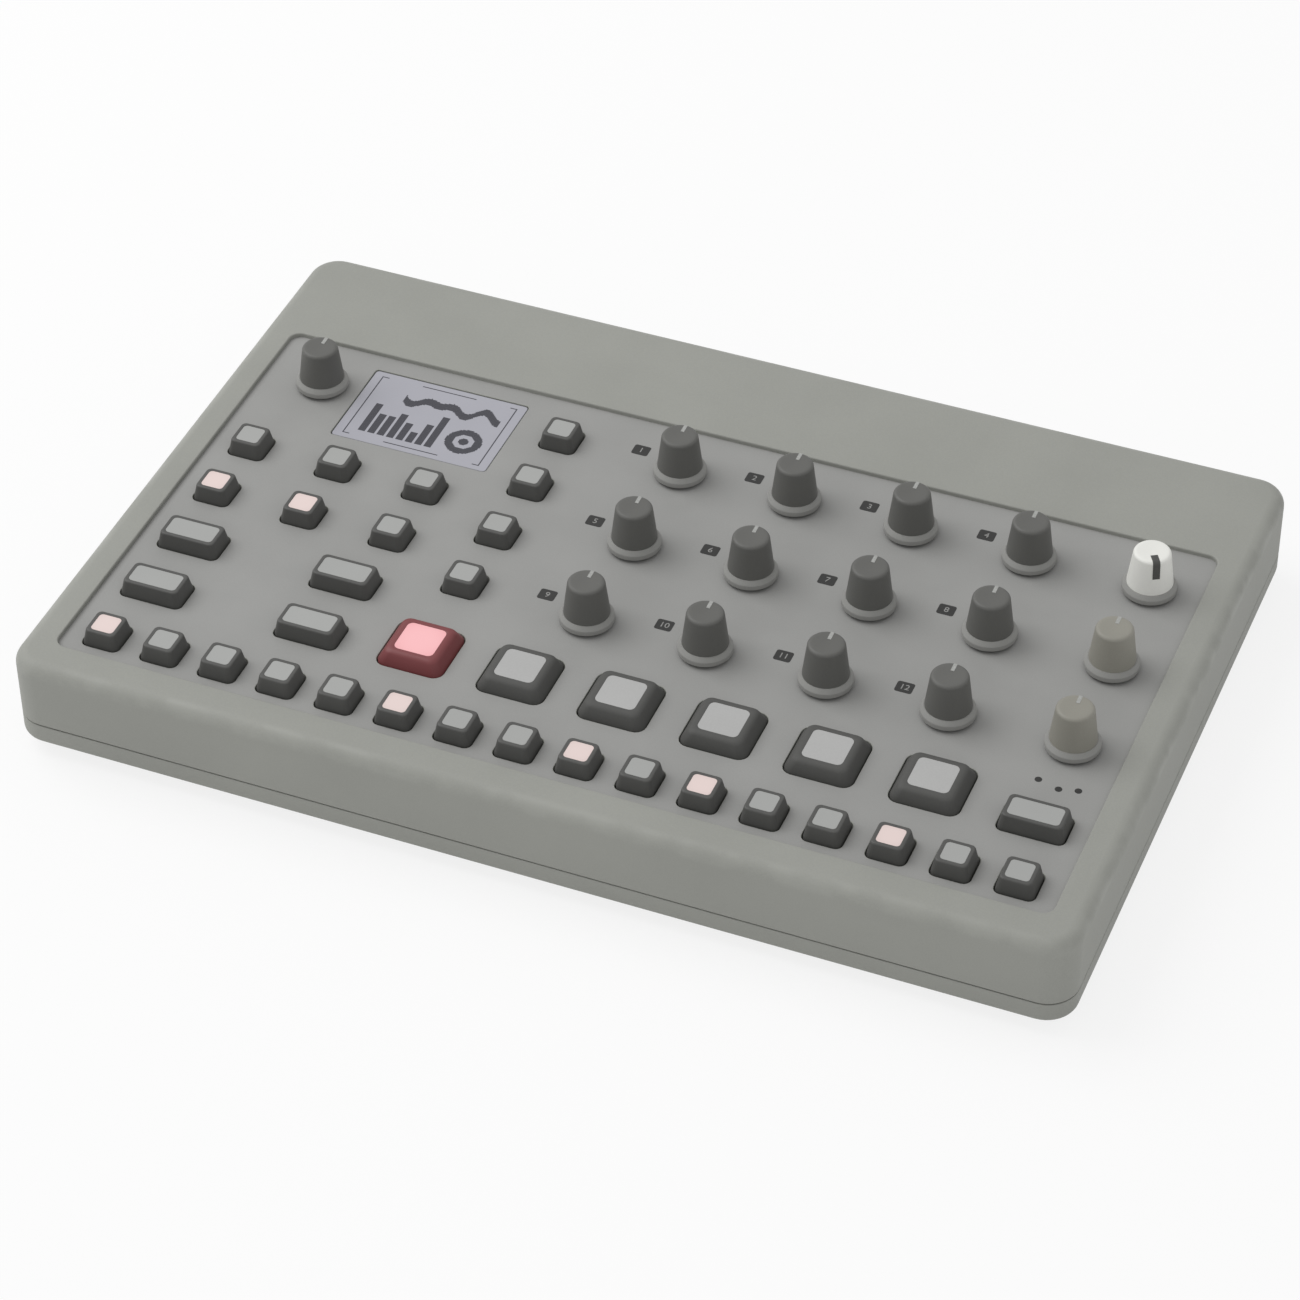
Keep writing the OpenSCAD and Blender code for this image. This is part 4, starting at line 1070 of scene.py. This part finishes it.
class MakeFeet(bpy.types.Operator):
    """Four rubber feet with a shallow hollow underneath"""
    bl_idname = "drum.make_feet"
    bl_label = "Feet"

    def execute(self, context):
        foot = context.scene.drum_feet
        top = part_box("rubber_feet")[1].z
        points = [(0, foot.hollow_depth), (foot.hollow, foot.hollow_depth)]
        points += [(foot.hollow + foot.hollow_slope, 0)]
        points += arc((foot.radius - foot.edge, foot.edge), foot.edge, -90, 0, segments=6)
        points += [(foot.radius, top), (0, top)]
        bm = bmesh.new()
        for x, y in four_corners(foot.inset):
            spun(bm, at(x, y, 0), points)
        piece("feet", bm, [foot_finish()], "case", "feet", "rubber_feet")
        return {"FINISHED"}


def cap(node, kind, keys, case):
    """Key or pad: a hollow cap with a flange, leaning sides and a soft top edge, over its plunger."""
    corner, draft, edge, stem, plunger = (
        getattr(keys, f"{kind}_{name}") for name in ("corner", "draft", "edge", "stem", "plunger"))
    panel_top, panel_under = panel_heights(case)
    low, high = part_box(node)
    size = high - low
    flange_bottom = panel_under - keys.flange_drop - keys.flange
    reach = keys.lap + keys.gap
    rise = high.z - panel_top
    lean = math.atan2(draft, rise)
    bm = bmesh.new()
    flange = outline(bm, over(node, flange_bottom), size.x, size.y, corner + reach, segments=5)
    face = slab(bm, flange, keys.flange)
    step(bm, face, reach, 0)
    step(bm, face, 0, panel_top - flange_bottom - keys.flange)
    taper(bm, face, draft, rise - edge * (1 - math.sin(lean)))
    for across, along in quarter(edge, 6, lean):
        taper(bm, face, across, along)
    taper(bm, face, keys.inlay_inset - keys.inlay_depth, 0)
    taper(bm, face, keys.inlay_depth, -keys.inlay_depth)
    face.material_index = 1

    inset = 2 * (reach + draft + keys.skin)
    hollow_top = high.z - keys.skin
    place = middle(node)
    hollow = outline(
        bm, under(place.x, place.y, flange_bottom), size.x - inset, size.y - inset, corner / 2, segments=4)
    fill(bm, flange, [sink(bm, hollow, 0, hollow_top - flange_bottom)])
    stem_bottom = low.z + keys.plunger + keys.seat
    slab(bm, disc(bm, over(node, stem_bottom), stem, segments=24), hollow_top - stem_bottom + OVERLAP)
    slab(bm, disc(bm, over(node, low.z), plunger, segments=24), keys.plunger)
    return bm


class MakeKeys(bpy.types.Operator):
    """Keys with dark sides and light tops, some of them lit"""
    bl_idname = "drum.make_keys"
    bl_label = "Keys"

    def execute(self, context):
        keys, case = context.scene.drum_keys, context.scene.drum_case
        side = moulded("key_side", keys.side_colour, grain=0.3, depth=0.012, roughness=0.52)
        top = moulded("key_top", keys.key_top_colour, grain=0.25, depth=0.008, roughness=0.5, cloud=0.03)
        edge_tone = scaled(keys.lit_colour, keys.lit_edge)
        for node in KEYS:
            shown = top
            # a lit key's top gets its lamp's glow painted into its colour
            if node in LIT_KEYS:
                reach = span(node).x * keys.key_reach
                shown = glowing(f"{node}_lit", keys.lit_colour, edge_tone, middle(node), reach, keys.key_glow)
            piece(f"{node}_cap", cap(node, "key", keys, case), [side, shown], node, "keys", node)
        return {"FINISHED"}


class MakePads(bpy.types.Operator):
    """Six rubber pads, the first of them lit"""
    bl_idname = "drum.make_pads"
    bl_label = "Pads"

    def execute(self, context):
        keys, case = context.scene.drum_keys, context.scene.drum_case
        side = moulded("pad_side", keys.side_colour, grain=0.45, depth=0.02, roughness=0.66)
        top = moulded("pad_top", keys.pad_top_colour, grain=0.5, depth=0.02, roughness=0.66, cloud=0.04)
        for node in PADS:
            finishes = self.lit_finishes(node, keys) if node in LIT_PADS else [side, top]
            piece(f"{node}_cap", cap(node, "pad", keys, case), finishes, node, "pads", node)
        return {"FINISHED"}

    def lit_finishes(self, node, keys):
        """Finishes of a lit pad's sides and top, with the glow of its lamp painted into their colours."""
        place, reach = middle(node), span(node).x * keys.pad_reach
        side_tone, side_glow = keys.lit_side_colour, keys.pad_glow * keys.side_glow
        top_tone, edge_tone = keys.lit_pad_colour, keys.lit_pad_edge_colour
        return [
            glowing(f"{node}_lit_side", side_tone, side_tone, place, reach, side_glow),
            glowing(f"{node}_lit", top_tone, edge_tone, place, reach, keys.pad_glow),
        ]


# Section of the dish in a knob's top: radius as a share of the flat top, and depth as a share of the dish's.
DISH_POINTS = [(0.85, 0), (0.4, 0.8), (0, 1)]
DISH_AT_POINTER = 0.5  # that depth where the pointer line starts


class MakeKnobs(bpy.types.Operator):
    """Conical knobs with a skirt and a pointer line, each on its pot's shaft"""
    bl_idname = "drum.make_knobs"
    bl_label = "Knobs"

    def execute(self, context):
        knobs, case = context.scene.drum_knobs, context.scene.drum_case
        base = panel_heights(case)[0] + knobs.gap
        radius = span("param_knob_1").x / 2
        steel = zinc_finish("shaft_steel")
        skirt = moulded("knob_skirt", knobs.skirt_colour, grain=0.3, depth=0.012, roughness=0.52)
        dark = moulded("knob_dark", knobs.knob_colour, grain=0.3, depth=0.012, roughness=0.5)
        send = moulded("knob_beige", knobs.send_colour, grain=0.3, depth=0.012, roughness=0.52)
        pale = moulded("knob_pale", knobs.volume_colour, grain=0.3, depth=0.012, roughness=0.45, cloud=0.02)
        line = ink_finish("pointer_pale", knobs.pointer_colour)
        dark_line = ink_finish("pointer_dark", knobs.volume_pointer_colour)
        looks = [
            (PARAM_KNOBS + ["level_knob"], "knobs", dark, line, knobs.pointer, 0),
            (SEND_KNOBS, "send_knobs", send, line, knobs.pointer, 0),
            (["volume_knob"], "volume_knob", pale, dark_line, knobs.volume_pointer, -knobs.turn),
        ]
        for nodes, slot, body_finish, pointer_finish, pointer_width, turn in looks:
            finishes = [body_finish, pointer_finish, steel, skirt]
            for node in nodes:
                where = over(node, base) @ Matrix.Rotation(turn, 4, "Z")
                bm = bmesh.new()
                spun(bm, where, self.cap_points(knobs, radius))
                spun(bm, where, self.skirt_points(knobs, radius), material=3)
                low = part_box(node)[0].z
                shaft = bmesh.new()
                shaft_end = disc(shaft, over(node, low), knobs.shaft, segments=32)
                slab(shaft, shaft_end, base + knobs.shaft_reach - low)
                join(bm, shaft, Matrix(), material=2)
                self.pointer(bm, where, knobs, radius, pointer_width)
                piece(f"{node}_cap", bm, finishes, node, slot, node)
        return {"FINISHED"}

    def waist(self, knobs, radius):
        """Radius and height at which the skirt's slope meets the cone."""
        waist_radius = (radius + knobs.top_radius) / 2
        return waist_radius, knobs.skirt + radius - waist_radius

    def skirt_points(self, knobs, radius):
        """Section of the skirt, from its hollow underneath round to inside the cap."""
        soft, edge = knobs.skirt_foot, knobs.skirt_edge
        waist_radius, waist_height = self.waist(knobs, radius)
        points = [(0, knobs.rim_height), (radius - knobs.rim, knobs.rim_height), (radius - knobs.rim, 0)]
        points += arc((radius - soft, soft), soft, -90, 0, segments=3)
        points += arc((radius - edge, knobs.skirt - edge), edge, 0, 45, segments=3)
        inside = waist_height - soft
        points += [(waist_radius + soft, inside), (waist_radius - soft, inside), (0, inside)]
        return points

    def cap_points(self, knobs, radius):
        """Section of the cap, from the axis inside its skirt round to the axis on top."""
        top_edge = knobs.top_edge
        waist_radius, waist_height = self.waist(knobs, radius)
        inner = knobs.top_radius - top_edge
        foot = waist_height - knobs.waist_sunk
        points = [(0, foot), (waist_radius, foot), (waist_radius, waist_height)]
        points += arc((inner, knobs.height - top_edge), top_edge, 5, 90, segments=6)
        points += [(inner * share, knobs.height - knobs.dish * sunk) for share, sunk in DISH_POINTS]
        return points

    def pointer(self, bm, where, knobs, radius, width):
        """Inlaid line over a knob's top edge and down its side."""
        proud, depth, top_edge = knobs.pointer_proud, knobs.pointer_depth, knobs.top_edge
        waist_radius, waist_height = self.waist(knobs, radius)
        inner = knobs.top_radius - top_edge
        foot = waist_height + knobs.pointer_foot
        lean = (waist_radius - knobs.top_radius) / (knobs.height - waist_height)
        side = waist_radius - lean * knobs.pointer_foot
        points = [(knobs.pointer_start, knobs.height + proud - knobs.dish * DISH_AT_POINTER)]
        points += arc((inner, knobs.height - top_edge), top_edge + proud, 90, 5, segments=6)
        points += [(side + proud, foot), (side - depth, foot), (inner, knobs.height - top_edge)]
        points += [(knobs.pointer_start, knobs.height - depth)]
        line = bmesh.new()
        face = line.faces.new([line.verts.new((-width / 2, y, z)) for y, z in points])
        made = bmesh.ops.extrude_face_region(line, geom=[face])["geom"]
        far_side = [v for v in made if isinstance(v, bmesh.types.BMVert)]
        bmesh.ops.translate(line, vec=(width, 0, 0), verts=far_side)
        join(bm, line, where, material=1)


class MakeDisplay(bpy.types.Operator):
    """Display window over its glass, its backlight and the backlight's legs"""
    bl_idname = "drum.make_display"
    bl_label = "Display"

    def execute(self, context):
        display, case = context.scene.drum_display, context.scene.drum_case
        panel_top, panel_under = panel_heights(case)
        place = middle("display")
        window_bottom = panel_under - display.ledge
        inset = display.ledge_width + display.clearance
        width = display.width + 2 * display.ledge_width
        depth = display.depth + 2 * display.ledge_width
        bm = bmesh.new()
        base = outline(bm, over("display", window_bottom), width, depth, display.corner + inset)
        face = slab(bm, base, display.ledge)
        step(bm, face, inset, 0)
        step(bm, face, 0, panel_top - display.drop - display.edge - window_bottom - display.ledge)
        round_over(bm, face, display.edge, segments=3)
        face.material_index = 1
        glass_bottom = window_bottom - display.seat - display.glass
        block(bm, over("display", glass_bottom), width, depth, display.glass)
        frame_bottom = glass_bottom - display.seat - display.backlight
        margin = 2 * display.backlight_margin
        block(bm, over("display", frame_bottom), width + margin, depth + margin, display.backlight)
        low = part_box("display")[0].z
        for x in (-1, 1):
            for y in (-1, 1):
                leg = at(place.x + x * (width - display.leg) / 2, place.y + y * (depth - display.leg) / 2, low)
                block(bm, leg, display.leg, display.leg, frame_bottom - low + OVERLAP)
        rim_tone = scaled(display.field_colour, display.rim_shade)
        rim = moulded("window_rim", rim_tone, grain=0.3, depth=0.004, roughness=0.3)
        piece("display_window", bm, [rim, display_finish(display, place)], "case", "window", "display")
        return {"FINISHED"}


class MakeSocketRings(bpy.types.Operator):
    """Plated rings around the mouths of the phone and MIDI sockets"""
    bl_idname = "drum.make_socket_rings"
    bl_label = "Socket rings"

    def execute(self, context):
        sockets = context.scene.drum_sockets
        nose = REAR - sockets.nose_inset
        bm = bmesh.new()
        for xs, height, outer, bore in (
                (PHONE_XS, sockets.phone_height, sockets.phone_nose, sockets.phone_bore),
                (MINI_XS, sockets.mini_height, sockets.mini_nose, sockets.mini_bore)):
            points = ring_points(
                bore + sockets.ring_play, outer - sockets.ring_inset, nose - sockets.ring_sunk,
                nose + sockets.ring, sockets.ring_edge)
            for x in xs:
                spun(bm, behind(x, 0, height), points, segments=48)
        piece("socket_rings", bm, [zinc_finish("ring_plate")], "case", "steel")
        return {"FINISHED"}


FIGURE_SHARE = 0.73  # height of a printed figure as a share of its font's size

# Parts of the symbols, as shares of their size.
PLAY_RADIUS = 0.6
STOP_CORNER = 0.08
PAUSE_SHIFT, PAUSE_WIDTH, PAUSE_CORNER = 0.32, 0.35, 0.05


class MakePrint(bpy.types.Operator):
    """Figures, symbols and marks printed on the panel"""
    bl_idname = "drum.make_print"
    bl_label = "Print"

    def execute(self, context):
        ink = context.scene.drum_print
        panel_top = panel_heights(context.scene.drum_case)[0]
        foot = panel_top - ink.thickness
        dark, light, faint = bmesh.new(), bmesh.new(), bmesh.new()
        for n, node in enumerate(PARAM_KNOBS, 1):
            x, y = middle(node).x - ink.tag_left, middle(node).y + ink.tag_back
            tag = outline(dark, at(x, y, foot), ink.tag_width, ink.tag_depth, ink.tag_corner, segments=4)
            self.mark(dark, tag, ink)
            self.figure(light, n, ink.tag_figure, at(x, y, panel_top + ink.thickness), ink)
        for n, node in enumerate(STEP_KEYS, 1):
            self.figure(faint, n, ink.key_figure, over(node, panel_top) @ at(0, ink.key_back, 0), ink)
        for x, y in DOT_PLACES:
            self.mark(dark, disc(dark, at(x, y, foot), ink.dot, segments=24), ink)
        self.symbols(faint, ink, foot)
        piece("dark_print", dark, [ink_finish("ink_dark", ink.dark_colour)], "case", "case")
        piece("light_print", light, [ink_finish("ink_light", ink.light_colour)], "case", "case")
        piece("faint_print", faint, [ink_finish("ink_faint", ink.faint_colour)], "case", "case")
        return {"FINISHED"}

    def mark(self, bm, face, ink):
        """Turns a flat face a little under the panel's face into a mark that stands up from it."""
        slab(bm, face, 2 * ink.thickness)

    def symbols(self, bm, ink, foot):
        """Record, play, stop and pause behind the four wide keys at the left."""
        size = ink.symbol
        record, play, stop, pause = (over(node, foot) @ at(0, ink.key_back, 0) for node in TRANSPORT_KEYS)
        self.mark(bm, disc(bm, record, size / 2, segments=24), ink)
        pointing_right = play @ Matrix.Rotation(-math.pi / 2, 4, "Z")
        self.mark(bm, disc(bm, pointing_right, size * PLAY_RADIUS, segments=3), ink)
        self.mark(bm, outline(bm, stop, size, size, size * STOP_CORNER, segments=1), ink)
        for side in (-1, 1):
            bar = outline(
                bm, pause @ at(side * size * PAUSE_SHIFT, 0, 0), size * PAUSE_WIDTH, size,
                size * PAUSE_CORNER, segments=1)
            self.mark(bm, bar, ink)

    def figure(self, bm, number, height, where, ink):
        """Adds one printed number, centred on its place."""
        curve = bpy.data.curves.new("figure", "FONT")
        curve.body = str(number)
        curve.size = height / FIGURE_SHARE
        curve.extrude = ink.thickness
        curve.resolution_u = 4
        curve.align_x = "CENTER"
        curve.align_y = "CENTER"
        lettered = bpy.data.objects.new("figure", curve)
        mesh = bpy.data.meshes.new_from_object(lettered)
        part = bmesh.new()
        part.from_mesh(mesh)
        join(bm, part, where)
        bpy.data.objects.remove(lettered)
        bpy.data.curves.remove(curve)
        bpy.data.meshes.remove(mesh)


class FinishInnerParts(bpy.types.Operator):
    """Finishes for the two circuit boards and the screws, whose shapes come from the frame"""
    bl_idname = "drum.finish_inner_parts"
    bl_label = "Inner parts"

    def execute(self, context):
        sockets = context.scene.drum_sockets
        usb_half = sockets.usb_width / 2 + sockets.usb_steel
        looks = {
            "control_board": board_finish("control_board_parts", *CONTROL_BOARD),
            "connector_board": board_finish(
                "connector_board_parts", *CONNECTOR_BOARD, (USB_X - usb_half, USB_X + usb_half)),
            "screws": zinc_finish("screw_zinc"),
        }
        for node, look in looks.items():
            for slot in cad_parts[node].material_slots:
                slot.material = look
        return {"FINISHED"}


# ---------- panel and registration ----------

SETTINGS = {
    "drum_case": CaseSettings,
    "drum_feet": FootSettings,
    "drum_keys": KeySettings,
    "drum_knobs": KnobSettings,
    "drum_display": DisplaySettings,
    "drum_sockets": SocketSettings,
    "drum_print": PrintSettings,
    "drum_stage": StageSettings,
}
OPERATORS = [
    MakeStage, MakeTopCase, MakeTray, MakeFeet, MakeKeys, MakePads, MakeKnobs, MakeDisplay,
    MakeSocketRings, MakePrint, FinishInnerParts,
]


class DrumMachinePanel(bpy.types.Panel):
    """Lists the drum machine's pieces and their settings"""
    bl_idname = "VIEW3D_PT_drum_machine"
    bl_label = "Drum machine"
    bl_space_type = "VIEW_3D"
    bl_region_type = "UI"
    bl_category = "Drum machine"

    def draw(self, context):
        for operator in OPERATORS:
            self.layout.operator(operator.bl_idname, text=operator.bl_label)
        for name in SETTINGS:
            group = getattr(context.scene, name)
            box = self.layout.box()
            box.label(text=name.replace("drum_", "").capitalize())
            for setting in group.__annotations__:
                box.prop(group, setting)


def register():
    for name, group in SETTINGS.items():
        bpy.utils.register_class(group)
        setattr(bpy.types.Scene, name, bpy.props.PointerProperty(type=group))
    for kind in OPERATORS + [DrumMachinePanel]:
        bpy.utils.register_class(kind)


def unregister():
    for kind in reversed(OPERATORS + [DrumMachinePanel]):
        bpy.utils.unregister_class(kind)
    for name, group in SETTINGS.items():
        delattr(bpy.types.Scene, name)
        bpy.utils.unregister_class(group)


def main():
    """Makes every piece."""
    register()
    for operator in OPERATORS:
        group, name = operator.bl_idname.split(".")
        getattr(getattr(bpy.ops, group), name)()


if __name__ == "__main__":
    main()
